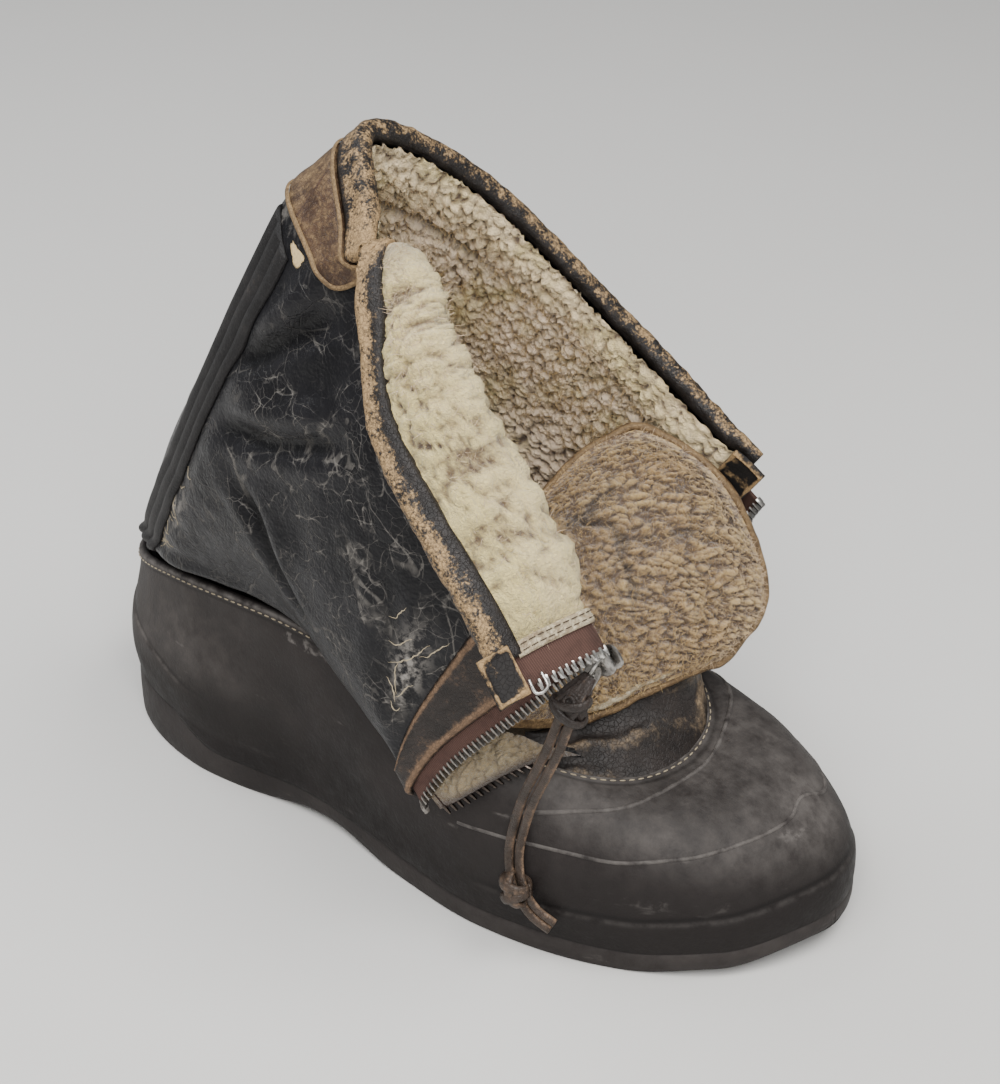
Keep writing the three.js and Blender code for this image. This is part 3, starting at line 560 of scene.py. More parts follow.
def stitches(bundle, path, normal, long, wide, high, slant=0.0):
    """One rounded stitch at each point of a path on a face."""
    along = unit(np.gradient(path, axis=0))
    across = unit(np.cross(along, normal))
    along = unit(along + slant * across)
    across = unit(np.cross(along, normal))
    angle = np.arange(6) * 2 * math.pi / 6
    stations = np.array([-0.5, -0.38, 0, 0.38, 0.5])
    girth = np.array([0.25, 0.8, 1.0, 0.8, 0.25])
    for centre, a, b, n in zip(path, along, across, normal):
        rings = (centre + a * (stations * long)[:, None, None]
                 + b * (girth[:, None] * np.cos(angle) * wide / 2)[..., None]
                 + n * (girth[:, None] * np.sin(angle) * high)[..., None])
        bundle.loft(rings)


# Finishes

class Wire:
    """A value in a finish; arithmetic on it adds Math nodes."""

    def __init__(self, finish, socket):
        self.finish = finish
        self.socket = socket

    def math(self, operation, first, second):
        return self.finish.node("ShaderNodeMath", {"operation": operation}, {0: first, 1: second})

    def __add__(self, other):
        return self.math("ADD", self, other)

    def __radd__(self, other):
        return self.math("ADD", other, self)

    def __sub__(self, other):
        return self.math("SUBTRACT", self, other)

    def __rsub__(self, other):
        return self.math("SUBTRACT", other, self)

    def __mul__(self, other):
        return self.math("MULTIPLY", self, other)

    def __rmul__(self, other):
        return self.math("MULTIPLY", other, self)

    def __truediv__(self, other):
        return self.math("DIVIDE", self, other)

    def __pow__(self, other):
        return self.math("POWER", self, other)


class Finish:
    """One procedural material, built node by node."""

    def __init__(self, name):
        self.material = bpy.data.materials.new(name)
        self.material.use_nodes = True
        self.tree = self.material.node_tree
        self.tree.nodes.clear()
        self.place = self.node("ShaderNodeTexCoord", out="Object")

    def node(self, kind, settings=None, inputs=None, out=0):
        """Adds a node, sets it, fills or links its sockets and gives one of its outputs."""
        made = self.tree.nodes.new(kind)
        for name, value in (settings or {}).items():
            if name == "stops":
                stops = made.color_ramp.elements
                while len(stops) < len(value):
                    stops.new(0.5)
                for stop, (position, colour) in zip(stops, value):
                    stop.position = position
                    stop.color = (*colour, 1)
            else:
                setattr(made, name, value)
        for name, value in (inputs or {}).items():
            socket = made.inputs[name]
            if isinstance(value, Wire):
                self.tree.links.new(value.socket, socket)
            elif socket.type == "RGBA" and len(value) == 3:
                socket.default_value = (*value, 1)
            else:
                socket.default_value = value
        return Wire(self, made.outputs[out]) if out is not None else None

    def mask(self, name):
        """Value that the mesh holds at each point."""
        return self.node("ShaderNodeAttribute", {"attribute_name": name}, out="Fac")

    def stretched(self, x, y, z):
        return self.node("ShaderNodeVectorMath", {"operation": "MULTIPLY"},
                         {0: self.place, 1: (x, y, z)})

    def noise(self, size, detail=3.0, rough=0.55, warp=0.0, place=None):
        """Cloudy noise with lumps of the given size in metres."""
        return self.node("ShaderNodeTexNoise", None, {
            "Vector": place or self.place, "Scale": 1 / size, "Detail": detail, "Roughness": rough,
            "Distortion": warp})

    def cells(self, size, feature="F1", place=None, random=1.0):
        """Distance in a field of cells of the given size in metres."""
        return self.node("ShaderNodeTexVoronoi", {"feature": feature}, {
            "Vector": place or self.place, "Scale": 1 / size, "Randomness": random}, out="Distance")

    def warped(self, size, amount):
        """Place in the object, pushed about by noise, for lines that wander."""
        noise = self.node("ShaderNodeTexNoise", None, {
            "Vector": self.place, "Scale": 1 / size, "Detail": 3.0}, out="Color")
        push = self.node("ShaderNodeVectorMath", {"operation": "MULTIPLY"},
                         {0: noise, 1: (amount, amount, amount)})
        return self.node("ShaderNodeVectorMath", {"operation": "ADD"}, {0: self.place, 1: push})

    def between(self, value, low, high, start=0.0, end=1.0):
        """Smooth step of a value from one number to another."""
        return self.node("ShaderNodeMapRange", {"interpolation_type": "SMOOTHSTEP"}, {
            "Value": value, "From Min": low, "From Max": high, "To Min": start, "To Max": end})

    def blend(self, factor, first, second, how="MIX"):
        """Mixes two colours."""
        return self.node("ShaderNodeMix", {"data_type": "RGBA", "blend_type": how}, {
            "Factor": factor, 6: first, 7: second}, out=2)

    def bump(self, height, strength, distance, under=None):
        inputs = {"Height": height, "Strength": strength, "Distance": distance}
        if under:
            inputs["Normal"] = under
        return self.node("ShaderNodeBump", None, inputs)

    def cover(self, colour, roughness, normal=None, **constants):
        """Ends the finish in one Principled surface; constants are its plain settings."""
        inputs = {"Base Color": colour, "Roughness": roughness}
        if normal:
            inputs["Normal"] = normal
        inputs.update({name.replace("_", " "): value for name, value in constants.items()})
        surface = self.node("ShaderNodeBsdfPrincipled", None, inputs)
        self.node("ShaderNodeOutputMaterial", None, {"Surface": surface}, out=None)
        return self.material


def plain(colour):
    return tuple(colour)


def toned(colour, share):
    """A colour made darker or paler."""
    return tuple(share * part for part in colour)


def tinted(colour, tint):
    return tuple(a * b for a, b in zip(colour, tint))


def rubber_finish(name="Rubber"):
    """Dull brown-black rubber with dust, scuffs, rubbed seams and painted shade; the dust also paints upward
    faces paler, as painted light from above.
    """
    look = Finish(name)
    tone = plain(colours().rubber)
    dust = plain(colours().dust)
    broad = look.noise(0.045, 4.0, 0.6)
    fine = look.noise(0.006, 5.0, 0.65)
    streak = look.noise(0.012, 4.0, 0.6, place=look.stretched(0.35, 0.35, 1.4))
    # Dust times noise; on upward faces the dust also paints the tops paler, as painted light from above.
    dusty_and_top_lit = look.mask("dust") * look.between(broad, 0.0, 0.85) * look.between(fine, 0.0, 0.9)
    colour = look.blend(look.between(broad, 0.3, 0.75), tone, toned(tone, 1.55))
    colour = look.blend(dusty_and_top_lit * 0.9, colour, dust)
    scuff = look.between(streak, 0.62, 0.72) * look.between(fine, 0.45, 0.6) * look.mask("scuff")
    colour = look.blend(scuff * 0.6, colour, toned(dust, 1.25))
    colour = look.blend(look.mask("rubbed") * look.between(fine, 0.3, 0.65), colour,
                        toned(dust, 1.2))
    colour = look.blend(look.mask("shadow"), colour, toned(tone, 0.45))
    grain = look.noise(0.0016, 3.0, 0.6)
    normal = look.bump(grain + fine * 1.5, 0.25, 0.0008)
    return look.cover(colour, look.between(fine, 0.2, 0.8, 0.5, 0.72) + dusty_and_top_lit * 0.15, normal,
                      Specular_IOR_Level=0.2)


def leather_finish():
    """Black leather, cracked to a grey net, creased, and scuffed pale where it rubs, with a painted grey
    sheen in broad patches and painted shade from the shadow mask.
    """
    look = Finish("Black leather")
    tone = plain(colours().leather)
    worn = plain(colours().crackle)
    wander = look.warped(0.012, 0.006)
    fine_wander = look.warped(0.006, 0.0065)
    broad = look.noise(0.03, 4.0, 0.6)
    fine = look.noise(0.004, 4.0, 0.6)
    first = look.noise(0.045, 2.5, 0.5, 0.9) - 0.5
    second = look.noise(0.02, 2.0, 0.5, 0.7) - 0.47
    wisps = look.between(first * first, 0.0, 0.00012, 0.75, 0.0)
    wisps = wisps + look.between(second * second, 0.0, 0.0002, 0.65, 0.0)
    wide_net = look.between(look.cells(0.013, "DISTANCE_TO_EDGE", wander), 0.0, 0.025, 0.7, 0.0) + wisps
    small_net = look.between(look.cells(0.0052, "DISTANCE_TO_EDGE", fine_wander), 0.0, 0.05, 0.6, 0.0)
    patch = look.between(look.noise(0.02, 3.0, 0.6), 0.34, 0.58)
    crackle = look.mask("crackle")
    net = look.between(wide_net * patch + small_net * patch * 0.85, 0.05, 1.15)
    # Painted sheen: broad random patches lifted to a paler grey.
    colour = look.blend(look.between(broad, 0.3, 0.75), tone, toned(tone, 2.2))
    colour = look.blend(net * crackle * look.between(fine, 0.3, 0.6), colour, worn)
    colour = look.blend(look.mask("scuff") * look.between(fine, 0.42, 0.62), colour,
                        toned(worn, 2.4))
    colour = look.blend(look.mask("tan") * look.between(fine + broad, 0.8, 1.15), colour,
                        plain(colours().tan))
    colour = look.blend(look.mask("shadow"), colour, toned(tone, 0.3))
    grain = look.cells(0.0013)
    height = grain * 0.25 + fine * 0.8 - net * 0.5 + broad
    normal = look.bump(height, 0.55, 0.0011)
    rough = look.between(fine, 0.25, 0.75, 0.3, 0.46) + net * crackle * 0.25 + look.mask("scuff") * 0.2
    return look.cover(colour, rough, normal, Specular_IOR_Level=0.19)


def worn_leather_finish(name, tone, worn, low, high, gloss=0.5, scale=1.0):
    """Leather of one colour, rubbed through in mottles to another where the mesh's mask is high; the mask
    holds wear, and in the throat also painted shade and highlight.
    """
    look = Finish(name)
    broad = look.noise(0.011 * scale, 4.0, 0.65)
    fine = look.noise(0.0022 * scale, 5.0, 0.7)
    net = look.between(look.cells(0.0017, "DISTANCE_TO_EDGE", look.warped(0.002, 0.0016)), 0, 0.1, 1, 0)
    # Mask of wear, which in the throat also holds painted shade and highlight.
    wear = look.mask("wear") + (broad - 0.5) * 0.9 + (fine - 0.5) * 1.1
    rubbed = look.between(wear, low, high)
    dark = look.blend(look.between(broad, 0.3, 0.7), toned(tone, 0.65), toned(tone, 1.5))
    bare = look.blend(look.between(fine, 0.3, 0.7), toned(worn, 0.7), toned(worn, 1.15))
    colour = look.blend(rubbed, dark, bare)
    colour = look.blend(net * look.between(fine, 0.35, 0.6) * 0.55, colour, toned(tone, 0.5))
    normal = look.bump(fine * 0.8 - net * 0.4 - rubbed * 0.3 + broad * 0.5, 0.5, 0.0007)
    return look.cover(colour, look.between(rubbed, 0, 1, gloss, gloss + 0.25), normal,
                      Specular_IOR_Level=0.3)


def wool_finish(name, dense, pale, tint):
    """Sheared wool: cream tips, soft fibres, crevices darkened to brown as painted shade, and more painted
    shade from the shadow mask.
    """
    look = Finish(name)
    tips = tinted(plain(colours().wool), pale)
    deep = plain(colours().wool_shade)
    warm = tinted(plain(colours().wool), tint)
    height = look.mask("height")
    broad = look.noise(0.02, 3.0, 0.6)
    fibre = look.noise(0.0011, 4.0, 0.7, 0.6)
    lock = look.noise(0.0032, 3.0, 0.6, 1.2)
    # Second tone of the wool: raised as painted light in the lining, lowered as painted shade in the lip, a
    # warm tan on the tongue.
    tone = look.blend(look.between(broad, 0.2, 0.6) * look.mask("warm"), tips, warm)
    tone = look.blend(look.between(fibre, 0.3, 0.75) * 0.45, tone, toned(tips, 1.1))
    # Painted shade: the low places between the clumps are blended to the dark brown.
    shade = look.between(height + (lock - 0.5) * 0.5 + (fibre - 0.5) * 0.25, dense - 0.55, dense)
    colour = look.blend(shade, deep, tone)
    colour = look.blend(look.mask("shadow"), colour, toned(deep, 0.5))
    normal = look.bump(lock + fibre * 0.9, 0.9, 0.0022)
    return look.cover(colour, 0.95, normal, Specular_IOR_Level=0.12, Sheen_Weight=0.35, Sheen_Roughness=0.6)


def fibre_finish():
    """Loose wool fibres."""
    look = Finish("Wool fibres")
    tips = plain(colours().wool)
    pale = tinted(tips, (1.0, 0.92, 1.3))
    tone = look.blend(look.noise(0.004), toned(pale, 0.6), pale)
    colour = look.blend(look.mask("warm"), tone, tinted(tips, (0.6, 0.47, 0.34)))
    return look.cover(colour, 0.9, Specular_IOR_Level=0.15)


def tape_finish():
    """Red-brown tape woven in fine diagonals."""
    look = Finish("Zip tape")
    tone = plain(colours().tape)
    weave = look.node("ShaderNodeTexWave", {"bands_direction": "DIAGONAL"}, {
        "Vector": look.place, "Scale": 560.0, "Distortion": 1.2, "Detail": 2.0, "Detail Scale": 40.0},
        out="Fac")
    dirt = look.noise(0.007, 4.0, 0.6)
    colour = look.blend(weave, toned(tone, 0.75), toned(tone, 1.25))
    colour = look.blend(look.between(dirt, 0.45, 0.75) * 0.6, colour, toned(tone, 0.45))
    colour = look.blend(look.mask("shadow"), colour, toned(tone, 0.12))
    return look.cover(colour, 0.85, look.bump(weave + dirt, 0.6, 0.0004), Specular_IOR_Level=0.25)


def metal_finish(name="Zip metal"):
    """Nickel with dull patches and dark grime; the grime mask also paints shade."""
    look = Finish(name)
    tone = plain(colours().metal)
    grime = look.noise(0.003, 4.0, 0.65)
    dull = look.between(grime, 0.4, 0.66)
    colour = look.blend(dull * 0.8, tone, toned(tone, 0.2))
    colour = look.blend(look.mask("grime"), colour, tinted(tone, (0.12, 0.1, 0.09)))
    return look.cover(colour, look.between(grime, 0.3, 0.7, 0.22, 0.5), look.bump(grime, 0.2, 0.0003),
                      Metallic=1.0)


def thread_finish(name, tone):
    """Waxed thread."""
    look = Finish(name)
    noise = look.noise(0.0012, 2.0)
    colour = look.blend(noise, toned(tone, 0.55), toned(tone, 1.2))
    return look.cover(colour, 0.75, look.bump(noise, 0.4, 0.0003))


def felt_finish():
    """Matted grey-brown felt."""
    look = Finish("Felt")
    tone = plain(colours().felt)
    fibre = look.noise(0.0015, 5.0, 0.7, 0.8)
    colour = look.blend(fibre, toned(tone, 0.5), toned(tone, 1.4))
    return look.cover(colour, 0.95, look.bump(fibre, 0.8, 0.001), Specular_IOR_Level=0.15)


def floor_finish():
    """Pale matt floor."""
    look = Finish("Floor")
    tone = plain(colours().floor)
    shade = look.noise(0.25, 3.0)
    colour = look.blend(shade, toned(tone, 0.97), toned(tone, 1.03))
    return look.cover(colour, 0.7, Specular_IOR_Level=0.2)


# Stage

CAMERA_AT = np.array([464.8, -610.2, 575.0])
CAMERA_AIM = np.array([-0.7, 27.5, 100.2])


def add_light(name, at, aim, size, power, colour=(1, 1, 1)):
    lamp = bpy.data.lights.new(name, "AREA")
    lamp.shape = "RECTANGLE"
    lamp.size = size[0]
    lamp.size_y = size[1]
    lamp.energy = power
    lamp.color = colour
    stand = bpy.data.objects.new(name, lamp)
    bpy.context.scene.collection.objects.link(stand)
    stand.location = at
    stand.rotation_euler = (Vector(aim) - Vector(at)).to_track_quat("-Z", "Y").to_euler()


class BOOT_OT_stage(bpy.types.Operator):
    """Adds the floor, the soft lights and the camera"""
    bl_idname = "boot.stage"
    bl_label = "Stage"

    def execute(self, context):
        span = np.linspace(-1, 1, 25)
        x, y = np.meshgrid(span, span, indexing="ij")
        reach = 4000.0
        mesh = bpy.data.meshes.new("floor")
        points = np.stack([x * reach, y * reach, 0 * x], -1).reshape(-1, 3) * MILLIMETRE
        mesh.from_pydata(points.tolist(), [], grid_faces(25, 25).tolist())
        mesh.materials.append(floor_finish())
        floor = bpy.data.objects.new("floor", mesh)
        context.scene.collection.objects.link(floor)

        aim = (0, 0, 0.1)
        add_light("key", (0.05, -0.75, 1.55), aim, (0.9, 0.9), 13, (1.0, 0.985, 0.96))
        add_light("top", (0.7, 0.1, 1.5), aim, (0.8, 0.8), 18, (1.0, 0.99, 0.97))
        add_light("fill", (0.75, -0.95, 1.1), aim, (0.9, 0.9), 25, (1.0, 1.0, 1.0))
        add_light("back", (-0.9, -0.1, 1.2), aim, (0.8, 0.8), 11, (0.95, 0.97, 1.0))
        world = bpy.data.worlds.new("studio")
        world.use_nodes = True
        sky = world.node_tree.nodes["Background"]
        sky.inputs["Color"].default_value = (0.9, 0.92, 0.95, 1)
        sky.inputs["Strength"].default_value = 0.28
        context.scene.world = world

        eye = bpy.data.cameras.new("camera")
        eye.sensor_width = 36.0
        eye.sensor_fit = "AUTO"
        eye.lens = sizes().lens
        eye.clip_start = 0.01
        camera = bpy.data.objects.new("camera", eye)
        context.scene.collection.objects.link(camera)
        camera.location = to_frame(CAMERA_AT)
        look = Vector(to_frame(CAMERA_AIM)) - camera.location
        camera.rotation_euler = look.to_track_quat("-Z", "Y").to_euler()
        context.scene.camera = camera
        return {"FINISHED"}


# Thong

def pull_places():
    """Places on the zip pull: its start at the slider, the way it hangs, its upper face and its eye."""
    edge, normal, away = zip_frame(1, SLIDER_ROW)
    centre = edge + away * 13.9 - normal
    start = centre + normal * (3.2 + 1.45)
    along = unit(PULL_TIP - start)
    up = unit(normal - along * (normal @ along))
    return centre, start, along, up, start + along * (PULL_LONG - 1.6)


def leave(centre, radius, toward):
    centre = np.asarray(centre, float)
    return centre + unit(np.asarray(toward, float) - centre) * (radius + 2 * GAP)


def strand_path(spread, eye):
    """Middle line of one strand, from the hitch by the knot to its cut end."""
    run = [leave(eye, HITCH_RADIUS, THONG_BEND[0]), *THONG_BEND, leave(KNOT, KNOT_RADIUS, THONG_BEND[-1])]
    tail = [leave(KNOT, KNOT_RADIUS, TAIL_BEND[0]), *TAIL_BEND]
    route = np.array([*run, KNOT + (1.4, 0, 0.4), *tail], float)
    along = np.gradient(route, axis=0)
    beside = route + unit(np.cross(along, THONG_FACE)) * spread
    fine = spline(beside, np.linspace(0, len(beside) - 1, 240))
    at, length = evenly(fine, 2.5)
    return picked_at(fine, at), length


def strap_loop(bundle, centre, axis, start, radii, width, thick, turns=1.0, pitch=0.0, wear=0.2):
    """Flat strap wound about an axis, from the direction start, on an oval of the two radii."""
    axis = unit(np.asarray(axis, float))
    first = unit(start - axis * (start @ axis))
    second = np.cross(axis, first)
    angle = np.linspace(0, 2 * math.pi * turns, int(36 * turns) + 1)
    path = (centre + first * (radii[0] * np.cos(angle))[:, None]
            + second * (radii[1] * np.sin(angle))[:, None] + axis * (pitch * angle / (2 * math.pi))[:, None])
    out = unit(path - centre - axis * ((path - centre) @ axis)[:, None])
    bundle.loft(tube_rings(path, width, thick, out), wear=wear)


class BOOT_OT_thong(bpy.types.Operator):
    """Adds the doubled leather thong, its hitch on the pull and its knot"""
    bl_idname = "boot.thong"
    bl_label = "Thong"

    def execute(self, context):
        finish = worn_leather_finish("Thong leather", plain(colours().thong), (0.18, 0.115, 0.072),
                                     0.45, 1.0, 0.42)
        _, start, along, up, eye = pull_places()
        wide = sizes().thong_width / MILLIMETRE

        knot = Bundle()
        inward = unit(np.array(THONG_BEND[-1]) - KNOT)
        strap_loop(knot, KNOT + inward * 1.9, inward + np.array([0.35, 0, 0.1]), np.array([1.0, 0, 0]),
                   (4.9, 4.4), 4.6, 2.6, 1.0, 0.0, 0.5)
        strap_loop(knot, KNOT - inward * 2.1, inward - np.array([0.5, 0, -0.2]), np.array([1.0, 0, 0]),
                   (4.8, 4.2), 4.4, 2.6, 1.0, 0.0, 0.35)
        cross_way = np.array([0.75, -0.25, -0.6])
        strap_loop(knot, KNOT, np.cross(inward, [0, -1, 0]) + 0.3 * inward, cross_way,
                   (6.0, 4.2), 4.2, 2.4, 1.0, 0.0, 0.6)
        knot_piece = knot.build("thong_knot", finish, ("cord_knot",))

        hitch = Bundle()
        down = unit(np.array(THONG_BEND[0]) - eye)
        side = unit(np.cross(down, THONG_FACE))
        self.fold(hitch, [start + along * 3.0 + up * 0.6, start + along * 9.0 + up * 0.9, eye + up * 0.6,
                          eye + down * 5.0], up)
        strap_loop(hitch, eye + down * 2.2, down + 0.25 * side, side, (6.4, 4.2), 3.8, 2.2, 1.0, 0.0, 0.45)
        strap_loop(hitch, eye - down * 2.4, down - 0.55 * side, side, (6.2, 4.0), 3.4, 2.0, 1.0, 0.0, 0.3)
        button = eye + up * 4.2 - along * 2.0
        strap_loop(hitch, button, up, side, (1.7, 1.7), 1.5, 1.5, 1.0, 0.0, 0.6)
        dark = worn_leather_finish("Hitch leather", (0.02, 0.0145, 0.012), (0.16, 0.10, 0.06), 0.6, 1.2, 0.42)
        hitch.build("thong_hitch", dark, ("cord_hitch",))

        for letter, spread in (("a", THONG_SPREAD), ("b", -THONG_SPREAD)):
            path, length = strand_path(spread, eye)
            strand = Bundle()
            rings = tube_rings(path, wide, 0.68 * wide, -THONG_FACE, 12)
            edge = np.abs(np.cos(np.arange(12) * 2 * math.pi / 12))
            strand.loft(rings, wear=0.25 + 0.6 * edge ** 2)
            made = strand.build("thong_strand_" + letter, finish,
                                ("cord_strand_" + letter, "cord_tail_" + letter))
        return {"FINISHED"}

    def fold(self, bundle, keys, up):
        """Folded leather from the slider to the strands: narrow, then wide, with creases along it."""
        share = np.linspace(0, 1, 40)
        path = spline(np.array(keys), 3 * share)
        width = np.interp(share, (0, 0.3, 0.65, 0.85, 1), (4.0, 7.5, 12.0, 10.5, 7.0))
        high = np.interp(share, (0, 0.3, 0.65, 0.85, 1), (3.4, 4.6, 6.6, 6.4, 4.6))
        rings = tube_rings(path, width, high, up, 36)
        angle = np.arange(36) * 2 * math.pi / 36
        creases = 0.13 * np.sin(5 * angle[None, :] + 5 * share[:, None]) + 0.07 * np.sin(9 * angle)[None, :]
        rings = path[:, None] + (rings - path[:, None]) * (1 + creases)[..., None]
        bundle.loft(rings, wear=0.2 + 2.5 * creases)


# Rubber

BAND_STEP = 0.65
RIM_LINE = 12.5
VAMP_SEAM = [(5.5, 0.6), (6.1, 0.7), (6.62, 0.76), (7.22, 0.85), (7.86, 0.89), (8.76, 0.9), (9.38, 0.83),
             (9.9, 0.74), (10.5, 0.6)]
TOE_LINE = [(4.9, 0.42), (5.56, 0.455), (5.94, 0.46), (6.36, 0.455), (6.82, 0.47), (7.26, 0.48),
            (7.66, 0.48), (8.0, 0.485), (8.18, 0.51), (8.32, 0.5), (8.5, 0.44), (8.7, 0.42), (9.1, 0.44),
            (9.6, 0.45), (10.4, 0.44)]


HEM_ROW = 0.968


def waist_share(r):
    """1 along the waist of the foot, where the wall runs down over the edge of the sole."""
    r = np.mod(r, ROUND)
    side = np.minimum(r, ROUND - r)
    return soft((side - 1.7) / 0.6) * (1 - soft((side - 4.6) / 1.0))


def rubber_relief(r, v):
    """How far the finished rubber stands off its plain face."""
    band = spline(BAND_KEYS, r, True)[..., 0]
    step = BAND_STEP * (1 - soft((v - band + 0.02) / 0.04)) * (1 - waist_share(r))
    foot = 1.3 * waist_share(r) * (1 - soft(v / 0.25))
    hem = 0.7 * soft((v - 0.945) / 0.02)
    spots = rubber_face(r, v)
    dents = 0.55 * cloud(spots / 26.0, 11) + 0.3 * cloud(spots / 11.0, 12)
    return step + foot + hem + dents * soft(v / 0.15) * (1 - soft((v - 0.9) / 0.1))


def rubber_skin(r, v):
    return rubber_face(r, v) + rubber_normal(r, v) * rubber_relief(r, v)[..., None]


class BOOT_OT_rubber(bpy.types.Operator):
    """Adds the rubber bottom with its foxing, heel bumper, raised seams and stitched hem"""
    bl_idname = "boot.rubber"
    bl_label = "Rubber Bottom"

    def execute(self, context):
        finish = rubber_finish()
        turns = np.linspace(0, ROUND, 560)
        rows = np.linspace(0, 1, 110)
        r, v = np.meshgrid(turns, rows, indexing="ij")
        wall = rubber_skin(r, v)
        normal = rubber_normal(r, v)
        band = spline(BAND_KEYS, r, True)[..., 0]
        foot = wall[:, :1]
        drop = waist_share(turns)[:, None] * np.maximum(foot[:, 0, 2:3] - RIM_LINE, 0) + 0.4
        skirt = np.concatenate([foot - np.array([0, 0, 1.0]) * (drop * share)[..., None]
                                for share in (1.0, 0.8, 0.6, 0.4, 0.2)], axis=1)
        under = skirt[:, :1] - rubber_normal(turns, 0.0)[:, None] * 2.2
        rim = wall[:, -1:] - normal[:, -1:] * 1.9 + unit(wall[:, -1:] - wall[:, -2:-1]) * 1.1
        inside_rows = np.linspace(0.99, 0.0, 9)
        ri, vi = np.meshgrid(turns, inside_rows, indexing="ij")
        inside = rubber_face(ri, vi) - rubber_normal(ri, vi) * RUBBER_WALL
        skin_grid = np.concatenate([under, skirt, wall, rim, inside], axis=1)
        height = normal[..., 2]
        heel = soft((np.abs(r - ROUND / 2) - 4.6) / 2.0)
        # Dust heavier on the heel and on upward faces; the upward share also paints the tops paler, as
        # painted light from above.
        dust = 0.15 + 0.69 * soft((height - 0.2) / 0.55) + 0.55 * heel
        rubbed = bell(v, band, 0.012) * (1 - waist_share(r)) * 0.32
        rubbed = rubbed + 0.55 * soft((v - 0.97) / 0.02)
        shadow = 0.35 * bell(v - band, 0.022, 0.012) * (1 - waist_share(r))
        shadow = shadow + 0.5 * bell(v, 0.942, 0.01) + 0.65 * (1 - soft((v - 0.08) / 0.4))
        shadow = np.clip(shadow, 0, 1)

        def padded(values, before, after):
            return np.concatenate([np.full((len(turns), 6), before), values,
                                   np.full((len(turns), 10), after)], axis=1)

        bundle = Bundle()
        bundle.sheet(skin_grid, dust=padded(dust, 0.1, 0.1), rubbed=padded(rubbed, 0.0, 0.0),
                     shadow=padded(shadow, 0.5, 0.6), scuff=padded(0.4 + 0.6 * soft(v), 0.6, 0.0))
        for keys, wide, high in ((VAMP_SEAM, 1.7, 0.75), (TOE_LINE, 1.5, 0.6)):
            path, out = line_on(rubber_skin, rubber_normal, keys, 1.5)
            ridge(bundle, path, out, wide, high, 0.15, dust=0.7, rubbed=0.32, shadow=0.0, scuff=0.0)
        bundle.build("rubber_bottom_dressed", finish, ("rubber_bottom",))

        thread = Bundle()
        at = np.linspace(0, ROUND, 1200)
        hem = rubber_skin(at, HEM_ROW)
        even, _ = evenly(hem, sizes().stitch_pitch / MILLIMETRE)
        at = np.interp(even, np.arange(len(hem)), at)
        stitches(thread, rubber_skin(at, HEM_ROW), rubber_normal(at, HEM_ROW), 2.3, 0.62, 0.4)
        thread.build("rubber_stitches", thread_finish("Pale thread", (0.32, 0.265, 0.18)))
        return {"FINISHED"}


# Sole

GROOVES = (-132, -114, -96, 22, 40, 58, 76, 94)


def groove_depth(x):
    depth = 0 * x
    for middle in GROOVES:
        depth = np.maximum(depth, 2.2 * soft((2.1 - np.abs(x - middle)) / 0.8))
    return depth


class BOOT_OT_sole(bpy.types.Operator):
    """Adds the grooved outsole, the felt insole and the felt round the heel"""
    bl_idname = "boot.sole"
    bl_label = "Sole"

    def execute(self, context):
        rubber = rubber_finish("Sole rubber")
        self.slab("outsole_dressed", "outsole", rubber, "rubber", 0.6, 0.0, None, 300, 12)
        felt = felt_finish()
        inset = -RUBBER_WALL - 1.6
        self.slab("insole_dressed", "insole", felt, "felt", inset, SEAT, INSOLE_THICK, 120, 12)
        self.heel_felt(felt)
        return {"FINISHED"}

    def heel_felt(self, finish):
        """Felt over the inside of the rubber round the heel, from the insole up to the wool."""
        r, v = np.meshgrid(np.linspace(-5.2, 5.2, 120), np.linspace(0.03, 0.99, 24), indexing="ij")
        deep = RUBBER_WALL + SEAM_GAP + SEAM_EDGE + 1.0
        bundle = Bundle()
        bundle.sheet(rubber_face(r, v) - rubber_normal(r, v) * deep)
        bundle.build("heel_felt", finish, ())

    def slab(self, name, node, finish, slot, proud, lift, thick, stations, columns):
        r = np.linspace(0.03, 7.97, stations)
        outer = spline(SOLE_KEYS, r, True) + outward(r) * proud
        inner = spline(SOLE_KEYS, ROUND - r, True) + outward(ROUND - r) * proud
        share = np.linspace(0, 1, columns)[None, :, None]
        flat = outer[:, None] * (1 - share) + inner[:, None] * share
        under, top = sole_sizes(flat[..., 0])
        if thick is None:
            edge_fade = soft(np.minimum(share, 1 - share)[..., 0] / 0.1)
            low = under + groove_depth(flat[..., 0]) * edge_fade
            high = top
        else:
            low = top + lift
            high = low + thick
        bottom = np.concatenate([flat[..., :2], low[..., None]], -1)
        ceiling = np.concatenate([flat[..., :2], high[..., None]], -1)
        sides = []
        levels = ((0.0, -0.7), (0.07, -0.1), (0.3, 0.15), (0.55, 0.2), (0.8, 0.15), (0.95, -0.1), (1.0, -0.5))
        for edge, out in ((-1, outward(ROUND - r)), (0, outward(r))):
            rows = [bottom[:, edge] * (1 - level) + ceiling[:, edge] * level + out * bulge
                    for level, bulge in levels]
            sides.append(np.stack(rows, axis=1))
        ring = np.concatenate([bottom[:, 1:-1], sides[0], ceiling[:, 1:-1][:, ::-1], sides[1][:, ::-1]],
                              axis=1)
        bundle = Bundle()
        bundle.loft(ring, dust=0.3, rubbed=0.0, shadow=0.0, scuff=0.6)
        bundle.build(name, finish, (node,))


# Shaft leather

